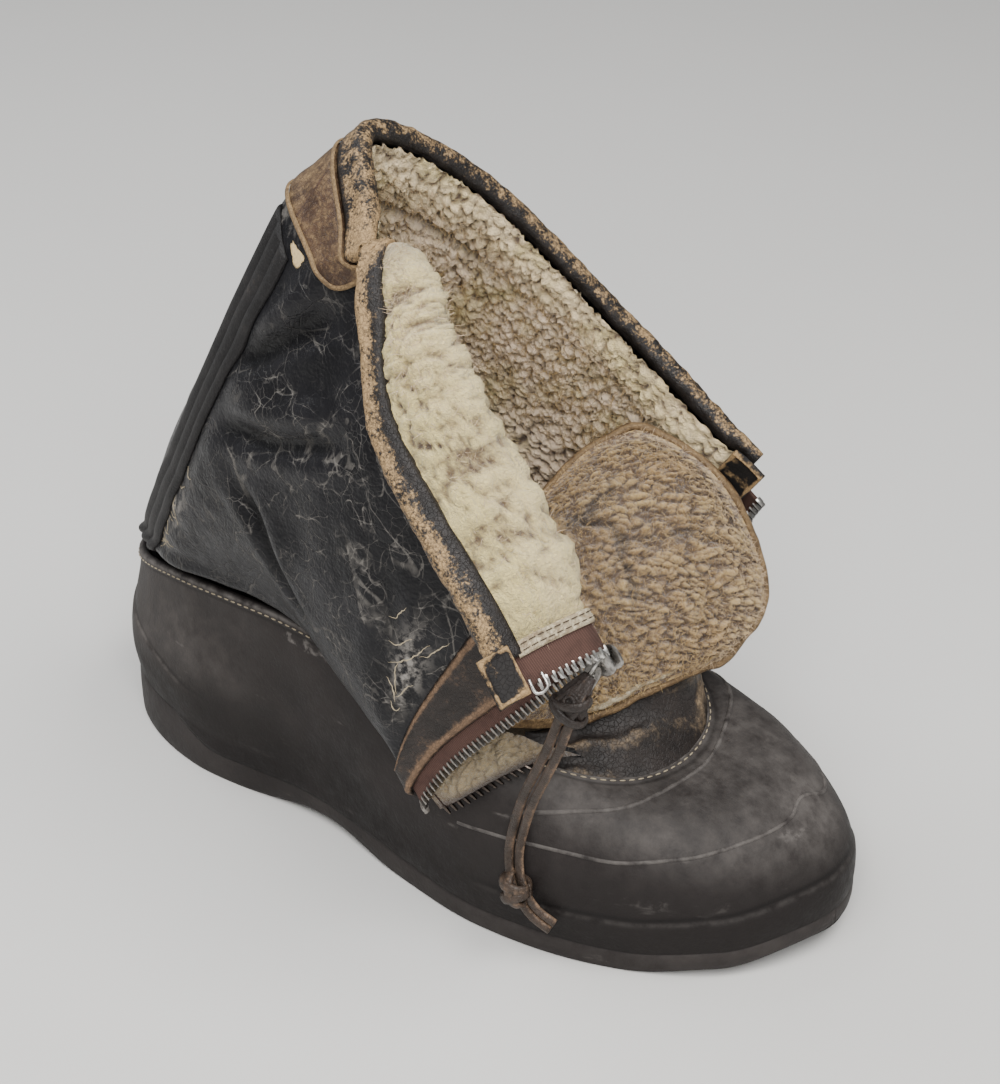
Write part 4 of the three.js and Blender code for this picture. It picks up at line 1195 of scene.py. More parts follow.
# Creases of the slouched leather: places (column, row), depth (troughs are negative) and half width
CREASES = [
    ([(4.5, 5.15), (4.12, 5.3), (3.5, 5.54), (3.2, 5.75)], -4.5, 6.0),
    ([(4.4, 5.4), (3.9, 5.6), (3.4, 5.85)], 1.8, 6.0),
    ([(3.9, 4.66), (3.54, 4.76), (2.48, 4.91), (1.68, 5.24)], -2.6, 4.5),
    ([(3.7, 4.95), (2.9, 5.05), (2.1, 5.25)], 1.8, 6.5),
    ([(3.2, 4.6), (3.02, 4.43), (2.48, 4.19), (2.16, 3.95), (1.72, 3.5), (1.5, 3.3)], -2.4, 4.0),
    ([(2.7, 4.6), (2.2, 4.3), (1.8, 3.9)], 1.5, 7.0),
    ([(4.7, 4.1), (4.2, 4.0), (3.7, 3.9)], -2.0, 5.0),
    ([(4.6, 3.5), (4.1, 3.35), (3.4, 3.3)], -1.8, 4.5),
    ([(1.1, 4.9), (0.9, 4.3), (0.95, 3.7)], -1.2, 5.0),
    ([(5.3, 5.2), (5.9, 5.1), (6.6, 5.3)], -3.4, 6.0),
    ([(5.4, 4.3), (6.0, 4.15), (6.8, 4.3)], -2.6, 6.0),
    ([(5.5, 3.5), (6.2, 3.4), (7.0, 3.3)], -2.2, 5.5),
    ([(6.9, 4.9), (7.2, 4.3), (7.35, 3.7)], -2.0, 6.0),
    ([(6.6, 5.9), (7.0, 5.4), (7.5, 5.1)], -1.8, 6.0),
]


def crease_relief(points):
    """Sum of the creases over points of the leather."""
    flat = points.reshape(-1, 3)
    relief = np.zeros(len(flat))
    for keys, depth, half in CREASES:
        line, _ = line_on(shaft_face, shaft_normal, keys, 6.0)
        distance, place = way_to(flat, line)
        fade = soft(np.minimum(place, 1 - place) / 0.3)
        swell = bell(distance, 0, half) - 0.35 * bell(distance, 1.9 * half, half)
        relief += depth * fade * swell
    return relief.reshape(points.shape[:-1])


def shaft_grid(columns, rows, low):
    """Columns and rows for a mesh of the shaft, the rows at even steps of the mean leather."""
    fine = np.linspace(low, LAST_ROW, 500)
    sample = shaft_face(np.linspace(0, LAST_COLUMN, 33)[:, None], fine[None, :])
    steps = np.linalg.norm(np.diff(sample, axis=1), axis=2).mean(axis=0)
    gone = np.concatenate([[0], np.cumsum(steps)])
    v = np.interp(np.linspace(0, gone[-1], rows), gone, fine)
    ring = shaft_face(np.linspace(0, LAST_COLUMN, 400), 4.5)
    at, _ = evenly(ring, np.linalg.norm(np.diff(ring, axis=0), axis=1).sum() / (columns - 1))
    c = np.interp(at, np.arange(400), np.linspace(0, LAST_COLUMN, 400))
    return np.meshgrid(c, v, indexing="ij")


def back_line(v):
    """Column of the back strip's middle at each row."""
    return np.interp(v, (1.75, 3.0, 4.3, 5.0, 5.8, 6.6), (4.4, 4.32, 4.24, 4.26, 4.42, 4.6))


def leather_lift(c, v, points):
    """How far the finished leather stands off the shaft's face: creases and slack, none at the seams."""
    inside = soft(np.minimum(c, LAST_COLUMN - c) / 0.25) * soft((v - 1.5) / 0.8)
    inside = inside * (1 - soft((v - 6.2) / 0.8))
    inside = inside * (1 - 0.9 * np.exp(-((c - back_line(v)) / 0.42) ** 4))
    roll = (2.4 + 0.9 * bell(c, 3.6, 0.8)) * bell(v, 1.95, 0.3) * soft(np.minimum(c - 0.6, 7.4 - c) / 0.4)
    slack = 0.9 * cloud(points / 30.0, 21) + 0.45 * cloud(points / 13.0, 22) + 0.2 * cloud(points / 6.0, 23)
    return inside * (crease_relief(points) + slack) + roll


class BOOT_OT_shaft(bpy.types.Operator):
    """Adds the creased leather of the shaft with its back seam, cracks and torn spot"""
    bl_idname = "boot.shaft"
    bl_label = "Shaft Leather"

    def execute(self, context):
        c, v = shaft_grid(390, 230, 0.5)
        face = shaft_face(c, v)
        normal = shaft_normal(c, v)
        lift = leather_lift(c, v, face)
        leather = face + normal * lift[..., None]
        middle = soft((v - 3.0) / 0.6) * (1 - soft((v - 5.3) / 0.5))
        crackle = 0.45 + 0.55 * middle * (1 - soft((c - 3.1) / 0.5))
        scuff = np.exp(-(((c - 4.05) / 0.28) ** 2 + ((v - 3.5) / 0.4) ** 2)) * 0.9
        scuff = scuff + 0.8 * np.exp(-(((c - 0.62) / 0.16) ** 2 + ((v - 4.3) / 0.3) ** 2))
        scuff = scuff + 0.35 * bell(c, 4.6, 0.15) * soft((v - 5.0) / 0.6)
        tan = soft((c - 7.1) / 0.4) * (1 - soft((v - 1.9) / 0.5))
        shadow = soft(-lift / 3.2) * 0.8
        shadow = np.maximum(shadow, 0.8 * (1 - soft((v - 1.0) / 0.45)) * (1 - soft((c - 7.0) / 0.3)))
        ends = []
        for column in (0, -1):
            edge_normal = normal[column][:, None]
            deep = np.linspace(0.8, SEAM_EDGE, 3)[None, :, None]
            ends.append(np.moveaxis(leather[column][:, None] - edge_normal * deep, 1, 0))
        grid = np.concatenate([ends[0][::-1], leather, ends[1]])

        def widened(values):
            return np.concatenate([values[:1].repeat(3, 0), values, values[-1:].repeat(3, 0)])

        bundle = Bundle()
        bundle.sheet(grid, crackle=widened(crackle), scuff=widened(scuff), tan=widened(tan),
                     shadow=widened(shadow))
        bundle.build("shaft_leather", leather_finish(), ("shaft",))
        self.cracks()
        return {"FINISHED"}

    def cracks(self):
        """Bare cracks by the zip and the torn spot below the collar band."""
        bundle = Bundle()

        def on_leather(c, v):
            points = shaft_face(c, v)
            return points + shaft_normal(c, v) * leather_lift(c, v, points)[..., None]

        lines = [
            [(0.9, 4.36), (0.8, 4.4), (0.68, 4.56)], [(0.86, 4.2), (0.74, 4.3), (0.62, 4.44), (0.52, 4.64)],
            [(0.74, 4.3), (0.72, 4.18), (0.67, 4.04)], [(0.66, 4.02), (0.6, 4.1), (0.5, 4.28)],
            [(0.84, 4.08), (0.73, 4.05), (0.64, 3.98)], [(0.56, 4.5), (0.47, 4.62), (0.41, 4.78)],
            [(0.95, 4.5), (0.86, 4.58), (0.8, 4.7)], [(0.72, 3.92), (0.62, 3.9), (0.56, 3.98)],
            [(4.14, 3.95), (4.02, 3.9), (3.9, 3.98)], [(4.16, 3.7), (4.06, 3.62), (3.92, 3.66)],
            [(4.16, 3.5), (4.06, 3.36), (3.94, 3.3)], [(4.1, 3.8), (4.0, 3.66), (3.96, 3.5)],
            [(4.1, 3.3), (4.02, 3.14), (3.98, 2.98)], [(4.02, 3.62), (3.9, 3.5), (3.84, 3.3)],
            [(3.98, 4.2), (3.9, 4.12), (3.78, 4.14)], [(4.04, 3.44), (3.94, 3.42), (3.86, 3.46)],
            [(4.14, 2.3), (4.06, 2.5), (3.95, 2.62)], [(4.1, 2.9), (3.98, 2.75), (3.88, 2.8)],
            [(4.12, 2.55), (4.0, 2.62), (3.86, 2.5)], [(4.08, 2.2), (4.0, 2.4), (3.97, 2.7)],
            [(4.12, 3.1), (4.02, 2.95), (3.9, 3.0)], [(4.05, 2.62), (3.9, 2.72), (3.76, 2.68)],
        ]
        for line in lines:
            path, out = line_on(on_leather, shaft_normal, line, 0.5)
            along = np.linspace(0, math.pi, len(path))
            wide = 0.05 + 0.22 * np.sin(along) * (0.6 + 0.8 * np.abs(cloud(path / 1.6, 31)))
            across = unit(np.cross(unit(np.gradient(path, axis=0)), out))
            path = path + across * (0.6 * cloud(path / 2.6, 32) + 0.4 * cloud(path / 1.1, 34))[:, None]
            edge = across * wide[:, None]
            bundle.sheet(np.stack([path - edge + out * 0.05, path + out * 0.16, path + edge + out * 0.05], 1))
        angle = np.linspace(0, 2 * math.pi, 72, endpoint=False)
        spin = np.stack([np.cos(angle), np.sin(angle), 0 * angle], -1)
        jag = 1.9 + 0.4 * np.cos(3 * angle + 0.2) + 0.25 * cloud(5 * spin, 35)
        middle = np.array([4.2, 6.27])
        out = shaft_normal(*middle)
        chip = []
        for share, high in ((1.0, 0.02), (0.8, 0.3), (0.45, 0.12), (0.05, 0.1)):
            ring = on_leather(middle[0] + 0.06 * share * spin[:, 0] * jag,
                              middle[1] + 0.06 * share * spin[:, 1] * jag)
            chip.append(ring + out * (high + 0.12 * cloud(ring / 0.9, 36)[:, None]))
        bundle.build("bare_cracks", thread_finish("Bare skin", (0.40, 0.33, 0.22)))
        torn = Bundle()
        torn.loft(np.array(chip))
        torn.build("torn_spot", thread_finish("Torn skin", (0.62, 0.46, 0.23)))


# Wool

def tufts(points, large, small, seed):
    """Wool's height from 0 to 1: large clumps with small curls on them, sized by the clump size."""
    clump = sizes().clump_size / MILLIMETRE
    return 0.55 * curls(points, clump * large, seed) + 0.45 * curls(points, clump * small, seed + 1)


def fibres(bundle, roots, normals, length, width, seed, warm):
    """Thin curved ribbons of wool that stand on the given roots."""
    count = len(roots)
    random = np.random.default_rng(seed)
    lean = unit(0.6 * normals + 0.9 * random.normal(size=(count, 3)))
    bend = unit(random.normal(size=(count, 3)))
    long = length * random.uniform(0.5, 1.25, count)[:, None]
    side = unit(np.cross(lean, bend)) * width / 2
    first = roots + lean * long * 0.45 + bend * long * 0.1
    last = roots + lean * long * 0.8 + bend * long * 0.42
    points = np.stack([roots - side, roots + side, first - side * 0.8, first + side * 0.8, last], 1)
    base = np.arange(count)[:, None] * 5
    quads = base + np.array([0, 1, 3, 2])
    tips = base + np.array([2, 3, 4])
    bundle.add(points.reshape(-1, 3), [*quads, *tips], warm=np.repeat(warm, 5))


class BOOT_OT_wool(bpy.types.Operator):
    """Adds the wool inside of the shaft"""
    bl_idname = "boot.wool"
    bl_label = "Wool Lining"

    def execute(self, context):
        c, v = shaft_grid(330, 285, 1.2)
        top = row_at(c[:, 0], inner_reach(c[:, 0]) - 1.6)[:, None]
        v = 1.2 + (v - 1.2) * (top - 1.2) / (LAST_ROW - 1.2)
        face = shaft_face(c, v)
        normal = shaft_normal(c, v)
        tall = sizes().wool_height / MILLIMETRE
        turned = bell(c, 3.1, 0.35) * soft((v - 5.2) / 0.6)
        low = soft((v - 2.5) / 0.9)
        base = face - normal * ((skin(c, v) - 2.0) * (1 - 0.3 * turned) * (0.4 + 0.6 * low))[..., None]
        flap = soft((v - 5.6) / 0.6) * (1 - soft((c - 2.5) / 1.0))
        round_way = gone_along(base, 0)
        down_way = gone_along(base, 1)
        flat = np.stack([round_way, (down_way - down_way[:, -1:]) / 2.0, 0 * c], -1)
        height = tufts(base, 1.45, 0.8, 41)
        long_wool = tufts(flat, 1.5, 0.7, 45)
        wrinkle = np.stack([round_way / 3.4, down_way / 13.0, 0 * c], -1)
        wrinkle = 1 - soft(np.abs(cloud(wrinkle, 47) + 0.3 * cloud(2.7 * wrinkle, 48)) / 0.16)
        patchy = soft(0.5 + 1.1 * cloud(base / 15.0, 49))
        roll = cloud(np.stack([round_way / 5.0, down_way / 24.0, 0 * c], -1), 50)
        height = mix(height, long_wool - 0.5 * wrinkle * patchy + 0.3 * roll, flap)
        fade = soft(np.minimum(c, LAST_COLUMN - c) / 0.16)
        below = np.linspace(1, 0, v.shape[1])[None, :]
        rim = soft(below / 0.05)
        puffs = bell(below, 0.06, 0.06) * soft((c - 3.4) / 0.8)
        crest = bell(c, 3.0, np.where(c < 3.0, 0.75, 0.5)) * soft((v - 5.4) / 0.7)
        fade = fade * (0.55 + 0.45 * rim) * (1 - 0.97 * crest)
        swell = cloud(base / 16.0, 44) + 0.6 + 1.8 * puffs + roll * flap
        lift = fade * low * (tall * height * mix(1.35, 1.0, flap) + swell + 1.2)
        fold, _ = line_on(shaft_face, shaft_normal, [(3.5, 6.9), (4.2, 6.7), (5.2, 6.45), (6.4, 6.3)], 3.0)
        away, place = way_to(face.reshape(-1, 3), fold)
        fold_shade = bell(away, 0, 2.6) * soft(np.minimum(place, 1 - place) / 0.2)
        fold_shade = fold_shade.reshape(c.shape)
        tuck = bell(below, 0, 0.03) * (1 - soft((c - 3.3) / 0.4))
        lift = lift - 3.2 * fold_shade - 1.6 * tuck
        wool = base - normal * lift[..., None]
        # Share of the lining's raised tint, painted light for the shaded inside; less on the flap and near
        # the rim.
        warm = 1 - 0.85 * flap - 0.45 * soft((v - 6.6) / 0.6)
        mouth = 1 - 0.5 * soft((c - 1.6) / 0.8) * soft((6.4 - c) / 0.8)
        deep = np.maximum(0.95 * mouth * (1 - soft((v - 2.2) / 1.9)), 0.85 * fold_shade)
        deep = np.maximum(deep, 0.45 * bell(c, 2.75, 0.3) * soft((v - 5.6) / 0.6))
        bundle = Bundle()
        bundle.sheet(wool, height=mix(height, 0.6 * height + 0.22, flap), warm=warm, shadow=deep)
        # The lining's colours are raised above the wool's own, painted light for the shaded inside of the
        # shaft.
        finish = wool_finish("Lining wool", 0.62, (1.06, 1.01, 0.84), (1.55, 1.42, 2.1))
        bundle.build("wool_lining", finish, ())

        hair = Bundle()
        random = np.random.default_rng(5)
        shown = ((v > 4.6) & (below > 0.035)).ravel()
        picked = random.choice(np.flatnonzero(shown), 26000, replace=True)
        roots = wool.reshape(-1, 3)[picked] + random.normal(scale=0.35, size=(len(picked), 3))
        fibres(hair, roots, -normal.reshape(-1, 3)[picked], sizes().fibre_length / MILLIMETRE, 0.17, 6,
               0.75 * warm.ravel()[picked])
        hair.build("wool_fibres", fibre_finish(), ())
        return {"FINISHED"}


# Collar

def inner_reach(c):
    """How far the binding reaches down the wool side."""
    return mix(8.5, 3.0, soft((c - 2.7) / 1.2)) + 4.0 * bell(c, 3.1, 0.3)


def band_low(c):
    """How far below the collar the band's low edge lies."""
    return BAND_LOW * mix(0.6, 1.0, soft((c - 3.3) / 2.0))


def strip_grid(c, low, high, lift_low, lift_high):
    """Closed strip over columns c, from ways low to a way high below the collar; rings along c."""
    rows = row_at(c, [np.linspace(b, high, 15) for b in low])
    cc = np.broadcast_to(c[:, None], rows.shape)
    face = shaft_face(cc, rows)
    normal = shaft_normal(cc, rows)
    crown = dome(np.linspace(-1, 1, 15), 8)
    top = face + normal * mix(lift_low, lift_high, crown)[None, :, None]
    under = face + normal * lift_low
    return np.concatenate([top, under[:, 1:-1][:, ::-1]], axis=1)


class BOOT_OT_collar(bpy.types.Operator):
    """Adds the rolled collar binding, the collar band, the back strip and the two tabs"""
    bl_idname = "boot.collar"
    bl_label = "Collar"

    def execute(self, context):
        tan = plain(colours().tan)
        brown = plain(colours().brown)
        self.binding(worn_leather_finish("Rolled binding", (0.013, 0.0105, 0.0095), tan,
                                         0.5, 0.78, 0.42, 0.45))
        self.band(worn_leather_finish("Band leather", brown, toned(tan, 0.6), 0.4, 1.0, 0.45))
        self.back_strip(worn_leather_finish("Back strip", (0.009, 0.008, 0.008), (0.075, 0.06, 0.048),
                                            0.45, 1.1, 0.6))
        self.tabs(worn_leather_finish("Tab leather", (0.009, 0.0075, 0.007), tan, 0.45, 0.85, 0.7))
        return {"FINISHED"}

    def binding(self, finish):
        c = np.linspace(0, LAST_COLUMN, 420)
        reach = np.linspace(BINDING_LOW + 0.8, 0, 9)
        rows = rows_below(c, reach)
        cc = np.broadcast_to(c[:, None], rows.shape)
        face = shaft_face(cc, rows)
        normal = shaft_normal(cc, rows)
        thick = skin(cc, rows)
        up = unit(face[:, -1] - face[:, -2])
        proud = GAP + BINDING_THICK * np.array([0.35, 0.8, 1, 1, 1, 1.05, 1.1, 1.15, 1.1])[None, :, None]
        outside = face + normal * proud
        inner = row_at(c, [np.linspace(b, 0, 9) for b in inner_reach(c)])
        slim = mix(0.42, 0.85, soft((3.0 - c) / 0.7)) + 0.18 * soft((c - 3.6) / 0.6)
        slim = slim[:, None, None]
        inside = shaft_face(cc, inner) - shaft_normal(cc, inner) * slim * (thick[..., None] + proud + 1.0)
        middle = (outside[:, -1] + inside[:, -1]) / 2
        half = (outside[:, -1] - inside[:, -1]) / 2
        angle = np.linspace(0, math.pi, 11)[1:-1]
        crown = (middle[:, None] + half[:, None] * np.cos(angle)[None, :, None]
                 + up[:, None] * (3.0 * np.sin(angle))[None, :, None])
        profile = np.concatenate([outside, crown, inside[:, ::-1]], axis=1)
        across = np.linspace(0, 1, profile.shape[1])
        ripple = 0.5 * cloud(profile / 5.0, 51) + 0.3 * cloud(profile / 2.2, 52)
        middle_line = profile.mean(axis=1, keepdims=True)
        ripple = ripple * np.sin(math.pi * across) ** 0.5
        profile = profile + unit(profile - middle_line) * ripple[..., None]
        flap = 1 - soft((c - 2.4) / 0.8)[:, None]
        edge = mix(0.5, 0.75, flap) + 0.45 * bell(c[:, None], 3.15, 0.32)
        wear = 0.8 - 0.5 * soft((across[None, :] - edge) / 0.3) - 0.25 * soft((0.14 - across[None, :]) / 0.12)
        wear = wear - 0.2 * soft((c[:, None] - 3.6) / 0.8) - 0.05 * flap
        wear = wear - 0.12 * soft((1.5 - c[:, None]) / 0.8)
        bundle = Bundle()
        bundle.loft(profile, wear=wear)
        bundle.build("collar_binding_dressed", finish, ("collar_binding",))

    def band(self, finish):
        c = np.linspace(2.95, 7.7, 260)
        bundle = Bundle()
        low = band_low(c)
        rings = strip_grid(c, low, BAND_HIGH - 3.6, 0.1, GAP + BAND_THICK)
        wear = 0.4 + 0.15 * soft((5.2 - c) / 1.0) + 0.2 * np.exp(-((c - 4.75) / 0.2) ** 4)
        bundle.loft(rings, wear=wear[:, None])

        few = c[::2]
        seam = np.linspace(4.62, 4.46, 24)
        for line, below, wide, high, sink, worn in (
                (few, low[::2] - 0.8, 1.9, 0.9, 0.2, 0.95),
                (few, 0 * few + BAND_HIGH - 2.7, 1.7, 0.8, 0.2, 0.95),
                (seam, np.linspace(BAND_HIGH - 1, band_low(4.46) - 2, 24), 1.0, 0.3, 0.1, -0.8)):
            rows = row_at(line, below)
            normal = shaft_normal(line, rows)
            path = shaft_face(line, rows) + normal * (GAP + BAND_THICK)
            ridge(bundle, path, normal, wide, high, sink, wear=worn)
        bundle.build("collar_band_dressed", finish, ("collar_band",))

    def back_strip(self, finish):
        top = one_row(4.6, BAND_LOW + 2.0)
        v = np.linspace(1.45, top, 200)
        place = np.linspace(-1, 1, 25)
        cc = back_line(v)[None, :] + 0.25 * place[:, None]
        vv = np.broadcast_to(v[None, :], cc.shape)
        face = shaft_face(cc, vv)
        normal = shaft_normal(cc, vv)
        face = face + normal * leather_lift(cc, vv, face)[..., None]
        ribs = 0.3 + 0.7 * np.abs(np.cos(1.5 * math.pi * place)) ** 0.7
        lift = GAP + (BAND_THICK + 0.5) * ribs * dome(place, 10)
        top_face = face + normal * lift[:, None, None]
        under = face + normal * 0.05
        rings = np.moveaxis(np.concatenate([top_face, under[1:-1][::-1]]), 0, 1)
        wear = 0.1 + 0.3 * np.concatenate([ribs, np.zeros(23)])
        bundle = Bundle()
        bundle.loft(rings, wear=wear)
        bundle.build("backstay_dressed", finish, ("backstay",))

    def tabs(self, finish):
        """Leather tabs over the ends of the binding, each with a raised worn edge."""
        for side, node in ((1, "collar_tab_outer"), (-1, "collar_tab_inner")):
            below = np.linspace(-7.5, 4.5, 26) if side > 0 else np.linspace(-2.2, 15.0, 26)
            rows = rows_below([0.0 if side > 0 else LAST_COLUMN], np.clip(below, 0, None))[0]
            edge, normal, away = zip_frame(side, rows)
            up = unit(edge[below <= 0.5].mean(0) - edge[-1])
            edge = edge + up * np.clip(-below, 0, None)[:, None]
            a = np.linspace(-4.5, 12.5, 26) if side > 0 else np.linspace(-8.0, 6.0, 26)
            share = np.clip(-a, 0, None) / 75.0
            deep = skin(share, np.full_like(a, 7.5)) + 2 * GAP + BINDING_THICK + 0.9
            inward = 1 - np.abs(np.linspace(-1, 1, 26))
            rim = np.minimum(inward[None, :], inward[:, None])
            raised = bell(rim, 0.1, 0.085)
            lift = deep[None, :] + 1.6 * soft(rim / 0.06) + 0.9 * raised
            top = beside(edge, away, normal, a, lift)
            under = beside(edge, away, normal, a, deep)
            bundle = Bundle()
            bundle.sheet(top, wear=0.3 + 0.6 * raised + 0.3 * cloud(top / 3.5, 61))
            bundle.sheet(under[::-1], wear=0.1)
            bundle.build(node + "_dressed", finish, (node,))


# Zip

FOOT_ROW = 1.35
FOLD_LOW = 2.8
FOLD_HIGH = 3.2
STOP_BELOW = 9.5
TOOTH_LINE = 12.0


def zip_runs():
    """The three runs of zip: side of the boot, first row and last row."""
    outer_top = one_row(0.0, BAND_HIGH)
    inner_top = one_row(LAST_COLUMN, BAND_HIGH)
    return {"outer": (1, FOLD_HIGH, outer_top), "lip": (1, FOOT_ROW, FOLD_LOW),
            "inner": (-1, FOOT_ROW, inner_top)}


class BOOT_OT_zip(bpy.types.Operator):
    """Adds the zip's leather bands, tapes, teeth, slider and pull"""
    bl_idname = "boot.zip"
    bl_label = "Zip"

    def execute(self, context):
        metal = metal_finish()
        tape = tape_finish()
        for name, (side, low, high) in zip_runs().items():
            self.tape(name, side, low, high, tape)
            self.teeth(name, side, low, high, metal)
        self.top_stop(metal)
        self.throat()
        self.lip()
        self.bands()
        self.folded_edge()
        self.slider(metal)
        self.pull(metal)
        return {"FINISHED"}

    def tape(self, name, side, low, high, finish):
        if name == "outer":
            high = one_row(0.0, 5.0)
        v = np.linspace({"outer": low, "lip": 2.05, "inner": 1.9}[name], high, 160)
        edge, normal, away = zip_frame(side, v)
        a = np.linspace(0.2, TAPE_WIDTH + 0.7, 12)
        sag = 0.35 * np.sin(np.linspace(0, math.pi, 12))
        top = beside(edge, away, normal, a, 0.6 + sag)
        under = top - normal[:, None] * 1.2
        bundle = Bundle()
        shadow = {"outer": 0.0, "lip": 0.8, "inner": 0.15}[name]
        bundle.loft(np.concatenate([top, under[:, ::-1]], axis=1), shadow=shadow)
        bundle.build("zip_tape_%s_woven" % name, finish, ("zip_tape_" + name,))

    def teeth(self, name, side, low, high, finish):
        hidden = {"outer": low, "lip": 2.12, "inner": 2.6}[name]
        if name == "outer":
            high = one_row(0.0, STOP_BELOW)
        fine = np.linspace(hidden, high, 600)
        edge, _, away = zip_frame(side, fine)
        at, _ = evenly(edge + away * TOOTH_LINE, sizes().tooth_pitch / MILLIMETRE)
        v = np.interp(at, np.arange(600), fine)
        edge, normal, away = zip_frame(side, v)
        line = edge + away * TOOTH_LINE
        along = unit(np.gradient(line, axis=0))
        bundle = Bundle()
        angle = np.arange(8) * 2 * math.pi / 8 + math.pi / 8
        shape = np.stack([squarish(np.cos(angle), 0.5), squarish(np.sin(angle), 0.5)], -1)
        stations = np.array([9.6, 10.0, 11.6, 12.3, 12.9, 13.4])
        wide = np.array([0.8, 1.0, 1.0, 0.72, 0.8, 0.4])
        # Grime and painted shade: full on the lip's teeth, on the outer teeth low down, a little on the inner
        # teeth.
        grime = {"outer": 0.7 * (1 - soft((v - 5.2) / 0.6)), "lip": 1 + 0 * v, "inner": 0.4 + 0 * v}[name]
        for p, n, w, t, dull in zip(edge, normal, away, along, grime):
            rings = (p + w * stations[:, None, None] - n * 1.2
                     + t * (wide[:, None] * shape[None, :, 0] * 0.62)[..., None]
                     + n * (wide[:, None] ** 0.5 * shape[None, :, 1] * 1.3)[..., None])
            bundle.loft(rings, grime=dull)
        bundle.build("zip_teeth_%s_cut" % name, finish, ("zip_teeth_" + name,), sharp=50)

    def top_stop(self, finish):
        """Bent wire that closes the end of the outer teeth."""
        top = one_row(0.0, STOP_BELOW)
        edge, normal, away = zip_frame(1, np.array([top - 0.02, top + 0.12]))
        along = unit(edge[1] - edge[0])
        keys = np.array([(8.2, 0.0), (12.6, 0.0), (13.8, 1.4), (13.8, 3.4), (12.6, 4.8), (8.2, 4.8)])
        route = spline(np.array([(a, b, 0) for a, b in keys]), np.linspace(0, len(keys) - 1, 40))
        path = edge[0] + away[0] * route[:, :1] + along * (route[:, 1:2] - 1.5) - normal[0] * 2.2
        bundle = Bundle()
        bundle.loft(tube_rings(path, 1.1, 1.1, normal[0], 10), grime=0.1)
        bundle.build("zip_top_stop", finish, ())

    def throat(self):
        """Creased leather between the rubber and the tongue."""
        r = np.linspace(5.5, 10.4, 150)
        share = np.linspace(0, 1, 60)
        rim = rubber_face(r, 0.965) - rubber_normal(r, 0.965) * (RUBBER_WALL + 0.4)
        q = np.interp(r, (5.5, 6.5, 8.5, 10.4), (0.7, 1.1, 2.6, 3.9))
        p = np.full_like(q, 0.3)
        under = tongue_face(p, q) - tongue_normal(p, q) * 10.0
        sheet = mix(rim[:, None], under[:, None], share[None, :, None])
        sheet[..., 2] += 3.0 * np.sin(math.pi * share) ** 0.8
        wave = 7.0 * share[None, :] + 1.2 * cloud(sheet / 16.0, 84) + 0.5 * r[:, None]
        relief = 1.8 * np.sin(2.2 * wave) * (0.4 + 0.6 * np.abs(cloud(sheet / 18.0, 81)))
        relief = relief + 0.5 * cloud(sheet / 5.0, 83)
        sheet[..., 2] += relief * np.sin(math.pi * share) ** 0.5
        worn = bell(r, 9.2, 0.5)[:, None] * bell(share, 0.35, 0.3)[None, :]
        # Painted shade in the crease troughs and towards the tongue, and painted highlight on the crests, go
        # into the wear mask together with the worn tan patch.
        shadow = 0.5 * soft(-relief) + 0.8 * soft((share - 0.45) / 0.4)[None, :]
        bundle = Bundle()
        bundle.sheet(sheet, wear=0.28 + 0.5 * worn + 0.25 * soft(relief) - 0.5 * np.clip(shadow, 0, 1))
        finish = worn_leather_finish("Throat leather", (0.016, 0.0125, 0.011), (0.25, 0.18, 0.11),
                                     0.3, 1.2, 0.5)
        bundle.build("throat_leather", finish, ())

    def lip(self):
        """Wool inside the lip that the zip folds over at its low end."""
        v = np.linspace(1.8, 2.85, 100)
        edge, normal, away = zip_frame(1, v)
        a = np.linspace(-9.0, 10.5, 70)
        flat = beside(edge, away, normal, a, SEAM_EDGE)
        height = tufts(flat, 1.45, 0.8, 91)
        bulge = dome(np.linspace(-1, 1, 70), 4)[None, :]
        ends = soft(np.minimum(v - 1.8, 2.85 - v) / 0.3)[:, None]
        wool = flat - normal[:, None] * (bulge * ends * (4.2 + 3.2 * height) - 1.0)[..., None]
        bundle = Bundle()
        shadow = 0.75 * soft((a - 6.5) / 4)[None, :] + 0.4 * (1 - ends)
        # The lip's wool is painted in shade: a shadow mask over all of it and a darkened copy of the wool's
        # colours.
        bundle.sheet(wool, height=height, warm=0.9, shadow=np.clip(0.3 + shadow, 0, 1))
        finish = wool_finish("Lip wool", 0.3, (0.55, 0.5, 0.5), (0.42, 0.35, 0.32))
        bundle.build("lip_wool", finish, ())

    def bands(self):
        """Brown leather beside the zip, between two raised seams."""
        finish = worn_leather_finish("Zip band leather", (0.015, 0.0108, 0.009), (0.18, 0.11, 0.065),
                                     0.5, 1.2, 0.45)
        for side, name in ((1, "outer"), (-1, "inner")):
            start = 0.0 if side > 0 else LAST_COLUMN
            top = one_row(start, BAND_HIGH)
            v = np.linspace(2.9 if side > 0 else 1.6, top, 170)
            place = np.linspace(0, 1, 21)
            wide = 0.42 if side > 0 else 0.25
            c = start + side * wide * np.clip(place - 0.2, 0, None)
            cc, vv = np.meshgrid(c, v, indexing="ij")
            face = shaft_face(cc, vv)
            normal = shaft_normal(cc, vv)
            _, _, away = zip_frame(side, v)
            face = face + away[None] * (np.clip(0.2 - place, 0, None) * 23.0)[:, None, None]
            crown = dome(2 * place - 1, 8)
            lift = 0.1 + (GAP + BAND_THICK - 0.1) * crown + 0.5 * bell(place, 0.9, 0.05)
            lift = lift + 0.6 * bell(place, 0.1, 0.06)
            top_face = face + normal * lift[:, None, None]
            under = face - normal * 0.3
            rings = np.moveaxis(np.concatenate([top_face, under[1:-1][::-1]]), 0, 1)
            edges = bell(place, 0.92, 0.05) + bell(place, 0.08, 0.06)
            wear = np.concatenate([0.46 + 0.8 * edges, np.zeros(19)])
            bundle = Bundle()
            bundle.loft(rings, wear=wear)
            bundle.build("zip_band_%s_dressed" % name, finish, ("zip_band_" + name,))

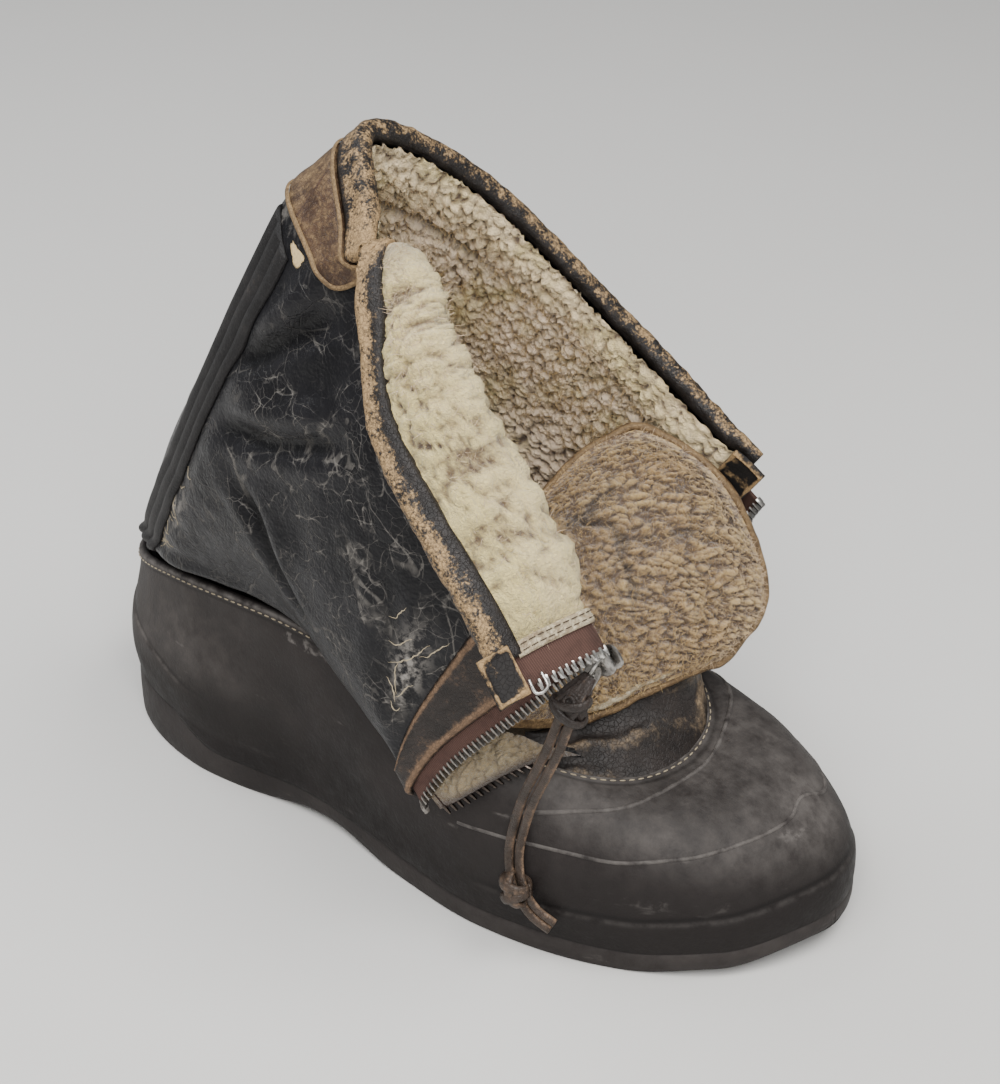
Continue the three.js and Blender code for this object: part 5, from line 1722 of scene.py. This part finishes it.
    def folded_edge(self):
        """Folded cream skin along the wool side of the outer zip, with its two rows of thread."""
        top = one_row(0.0, 7.0)
        v = np.linspace(5.0, top, 90)
        edge, normal, away = zip_frame(1, v)
        a = np.linspace(-3.9, 1.2, 11)
        puff = 0.9 * dome(np.linspace(-1, 1, 11), 4) - 0.35 * bell(a, -2.0, 0.5)
        bundle = Bundle()
        bundle.sheet(beside(edge, away, normal, a, SEAM_EDGE + 0.5 + puff), wear=1.0)
        cream = toned(colours().cream, 0.8)
        skin_side = worn_leather_finish("Skin side", (0.2, 0.13, 0.07), cream, 0.6, 1.2, 0.7)
        bundle.build("zip_folded_edge", skin_side, ())
        thread = Bundle()
        for way in (-2.6, -0.5):
            line = edge + away * way - normal * (SEAM_EDGE + 1.45)
            at, _ = evenly(line, 3.2)
            stitches(thread, picked_at(line, at), picked_at(-normal, at), 2.6, 0.45, 0.3)
        thread.build("zip_folded_stitches", thread_finish("Dark thread", (0.05, 0.032, 0.02)))

    def slider(self, finish):
        """Slider: two plates held apart, with a bail over the upper one."""
        _, normal, away = zip_frame(1, SLIDER_ROW)
        along = unit(np.cross(away, normal))
        centre, _, hang, _, _ = pull_places()
        bundle = Bundle()
        angle = np.linspace(0, 2 * math.pi, 28, endpoint=False)
        outline_along = 5.4 * squarish(np.sin(angle), 0.6)
        outline_away = (4.5 - 1.1 * soft((outline_along + 1) / 5)) * squarish(np.cos(angle), 0.6)
        # Grime and painted shade darken the plates and the post; the bail stays bright.
        for base, sign in ((1.5, 1), (-1.5, -1)):
            rings = []
            for share, high in ((0.9, 0.0), (1.0, 0.35), (1.0, 1.0), (0.86, 1.6)):
                rings.append(centre + away * (outline_away * share)[:, None]
                             + along * (outline_along * share)[:, None] + normal * (base + sign * high))
            rings = np.array(rings)
            bundle.loft(rings if sign > 0 else rings[:, ::-1], grime=0.5)
        post = np.array([centre + away * (1.2 * np.cos(angle))[:, None]
                         + along * (1.8 * np.sin(angle) + 3.0)[:, None] + normal * h for h in (-1.6, 1.6)])
        bundle.loft(post, grime=0.6)
        bail_way = unit(hang - normal * (hang @ normal))
        turn = np.linspace(-0.25, math.pi + 0.25, 26)
        path = (centre + normal * 3.0 + bail_way * (4.4 * np.cos(turn))[:, None]
                + normal * (4.2 * np.sin(turn))[:, None])
        bundle.loft(tube_rings(path, 1.7, 1.2, np.cross(bail_way, normal), 10), grime=0.1)
        bundle.build("zip_slider_cast", finish, ("zip_slider",), sharp=45)

    def pull(self, finish):
        """Pull: a flat tab with a slot at the slider and an eye for the thong."""
        _, start, along, up, _ = pull_places()
        across = np.cross(up, along)
        angle = np.linspace(0, 2 * math.pi, 48, endpoint=False)
        long = PULL_LONG / 2 + 0.5
        x = PULL_LONG / 2 - 0.4 + long * squarish(np.cos(angle), 0.7)
        y = 3.1 * squarish(np.sin(angle), 0.55)
        hole_x = np.clip(PULL_LONG / 2 - 4.9 + 2.8 * np.cos(angle), 0.9, 6.4)
        hole_y = 1.4 * np.sin(angle)

        def at(px, py, h):
            return start + along * px[:, None] + across * py[:, None] + up * h

        bundle = Bundle()
        outer = [at(x * 0.98, y * 0.94, -0.7), at(x, y, -0.45), at(x, y, 0.45), at(x * 0.98, y * 0.94, 0.7)]
        inner = [at(hole_x, hole_y, 0.7), at(hole_x, hole_y, -0.7)]
        rings = np.array([*outer, *inner, outer[0]])
        # Grime and painted shade darken the pull.
        bundle.loft(rings, capped=False, grime=0.5)
        bundle.build("zip_pull_pressed", finish, ("zip_pull",), sharp=45)


# Tongue

def tongue_thickness(q):
    return mix(SEAM_EDGE, TONGUE_THICK, soft(q / 0.9))


class BOOT_OT_tongue(bpy.types.Operator):
    """Adds the woolly tongue, its leather back and its piping"""
    bl_idname = "boot.tongue"
    bl_label = "Tongue"

    def execute(self, context):
        self.wool()
        self.piping()
        return {"FINISHED"}

    def wool(self):
        p, q = np.meshgrid(np.linspace(0, TIP, 181), np.linspace(0.12, TIP, 241), indexing="ij")
        face = tongue_face(p, q)
        normal = tongue_normal(p, q)
        inside = np.minimum(np.minimum(p, TIP - p) / 0.3, (TIP - q) / 0.22)
        fade = soft(inside)
        over_way = gone_along(face, 0)
        out_way = gone_along(face, 1)
        combed = np.stack([over_way, out_way / 1.9, 0 * p], -1)
        upright = np.stack([over_way / 1.9, out_way, 0 * p], -1)
        combed = tufts(combed, 0.95, 0.55, 61)
        upright = tufts(upright, 0.95, 0.55, 65)
        height = mix(upright, combed, soft((q - 1.5) / 0.9))
        jitter = np.stack([cloud(face / 5.0, 64 + k) for k in range(3)], -1)
        ragged = (face + 2.2 * jitter).reshape(-1, 3)
        creases = 0
        for keys, depth, half in (
                ([(3.3, 2.0), (3.08, 2.19), (2.65, 2.32), (2.15, 2.32), (1.62, 2.21), (1.1, 2.1)], -3.2, 1.7),
                ([(3.6, 2.95), (3.3, 2.65), (3.03, 2.46), (3.08, 2.1)], -2.4, 1.6),
                ([(2.3, 2.3), (2.1, 2.8), (1.9, 3.4)], -1.5, 2.0)):
            line, _ = line_on(tongue_face, tongue_normal, keys, 4.0)
            distance, place = way_to(ragged, line)
            ends = soft(np.minimum(place, 1 - place) / 0.25)
            creases = creases + (depth * ends * bell(distance, 0, half)).reshape(p.shape)
        tall = 1.3 * sizes().wool_height / MILLIMETRE
        lift = fade * (tall * height + 0.8 * cloud(face / 14.0, 63) + 0.6 + creases) - 0.8 * (1 - fade)
        wool = face + normal * lift[..., None]
        deep = tongue_thickness(q)
        back = face - normal * deep[..., None]
        hole = bell(np.linalg.norm(face - tongue_face(3.1, 2.15), axis=-1), 0, 3.6)
        shadow = np.clip(soft(-creases / 2.2) * 0.75 + 0.95 * hole, 0, 1)
        root = 0.5 * (1 - soft((q - 0.5) / 0.8))
        bundle = Bundle()
        warm = 0.9 - 0.6 * soft((q - 3.1) / 0.6)
        bundle.sheet(wool, height=height, warm=warm, shadow=np.maximum(shadow, root))
        finish = wool_finish("Tongue wool", 0.9, (0.78, 0.64, 0.52), (0.5, 0.34, 0.225))
        bundle.build("tongue_wool", finish, ("tongue",))
        hair = Bundle()
        random = np.random.default_rng(8)
        picked = random.choice(np.flatnonzero((q > 0.6).ravel()), 14000, replace=True)
        roots = wool.reshape(-1, 3)[picked] + random.normal(scale=0.3, size=(len(picked), 3))
        fibres(hair, roots, normal.reshape(-1, 3)[picked], 0.8 * sizes().fibre_length / MILLIMETRE, 0.16, 9,
               0.8 * warm.ravel()[picked])
        hair.build("tongue_fibres", fibre_finish(), ())
        leather = Bundle()
        back = back[::4, ::4]
        wool = wool[::4, ::4]
        edge_front = np.stack([wool[0], back[0]])
        edge_rear = np.stack([back[-1], wool[-1]])
        edge_tip = np.stack([wool[:, -1], back[:, -1]])
        leather.sheet(back[::-1], wear=0.2)
        for strip in (edge_front, edge_rear, edge_tip):
            leather.sheet(strip, wear=0.8)
        finish = worn_leather_finish("Tongue back", plain(colours().brown), plain(colours().tan),
                                     0.4, 1.0, 0.5)
        leather.build("tongue_back", finish, ())

    def piping(self):
        """Rolled tan edge with the pale skin folded in beside it."""
        off = 0.55 * PIPING_RADIUS

        def rim(p, q, out_p, out_q):
            h = 0.05
            here = tongue_face(p, q) - tongue_normal(p, q) * TONGUE_THICK / 2
            way = np.zeros(3)
            if out_p:
                way = way + unit(tongue_face(p, q) - tongue_face(p - out_p * h, q))
            if out_q:
                way = way + unit(tongue_face(p, q) - tongue_face(p, q - h))
            return here + unit(way) * off, tongue_normal(p, q)

        stops = [rim(0, q, -1, 0) for q in np.linspace(1.05, TIP - 0.25, 6)]
        stops += [rim(0.04, TIP, -1, 1)]
        stops += [rim(p, TIP, 0, 1) for p in np.linspace(0.4, 3.6, 9)]
        stops += [rim(3.96, TIP, 1, 1)]
        stops += [rim(TIP, q, 1, 0) for q in np.linspace(TIP - 0.25, 1.25, 6)]
        keys = np.array([stop[0] for stop in stops])
        ups = np.array([stop[1] for stop in stops])
        t = np.linspace(0, len(keys) - 1, 300)
        path = spline(keys, t)
        up = unit(spline(ups, t))
        rings = tube_rings(path, 1.15 * PIPING_RADIUS, 1.6 * PIPING_RADIUS, up, 16)
        ripple = 0.28 * cloud(rings / 4.0, 71)
        rings = rings + unit(rings - path[:, None]) * ripple[..., None]
        bundle = Bundle()
        bundle.loft(rings, wear=0.5 + 0.35 * np.sin(np.arange(16) * 2 * math.pi / 16))
        finish = worn_leather_finish("Piping leather", (0.05, 0.026, 0.012), toned(colours().tan, 0.6),
                                     0.3, 1.1, 0.42)
        bundle.build("tongue_piping_rolled", finish, ("tongue_piping",))
        self.skin_fold()

    def skin_fold(self):
        """Ragged cream skin that shows between the wool and the piping at the front."""
        q = np.linspace(1.1, 2.75, 90)
        p = np.full_like(q, 0.17)
        out = tongue_normal(p, q)
        path = tongue_face(p, q) + out * 0.5
        taper = soft(np.minimum(q - 1.0, 2.85 - q) / 0.35)
        wide = (3.6 + 1.3 * cloud(path / 4.0, 72) + 0.8 * cloud(path / 1.7, 73)) * taper + 0.4
        bundle = Bundle()
        bundle.loft(tube_rings(path, wide, 2.2 * taper + 0.3, out, 12), wear=0.9)
        cream = toned(colours().cream, 0.75)
        finish = worn_leather_finish("Tongue skin", (0.2, 0.13, 0.07), cream, 0.5, 1.1, 0.7)
        bundle.build("tongue_skin_fold", finish, ())


# Panel

PIECES = (
    BOOT_OT_stage, BOOT_OT_thong, BOOT_OT_rubber, BOOT_OT_sole, BOOT_OT_shaft, BOOT_OT_wool,
    BOOT_OT_collar, BOOT_OT_zip, BOOT_OT_tongue)


class BOOT_PT_panel(bpy.types.Panel):
    """Lists the boot's pieces, sizes and colours"""
    bl_idname = "BOOT_PT_panel"
    bl_label = "Flying Boot"
    bl_space_type = "VIEW_3D"
    bl_region_type = "UI"
    bl_category = "Boot"

    def draw(self, context):
        for made in PIECES:
            self.layout.operator(made.bl_idname)
        for group in (context.scene.boot_sizes, context.scene.boot_colours):
            box = self.layout.box()
            for name in group.__annotations__:
                box.prop(group, name)


CLASSES = (BootSizes, BootColours, *PIECES, BOOT_PT_panel)


def register():
    for made in CLASSES:
        bpy.utils.register_class(made)
    bpy.types.Scene.boot_sizes = PointerProperty(type=BootSizes)
    bpy.types.Scene.boot_colours = PointerProperty(type=BootColours)


def unregister():
    del bpy.types.Scene.boot_colours
    del bpy.types.Scene.boot_sizes
    for made in reversed(CLASSES):
        bpy.utils.unregister_class(made)


def main():
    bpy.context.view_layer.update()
    register()
    for made in PIECES:
        group, name = made.bl_idname.split(".")
        getattr(getattr(bpy.ops, group), name)()


if __name__ == "__main__":
    main()
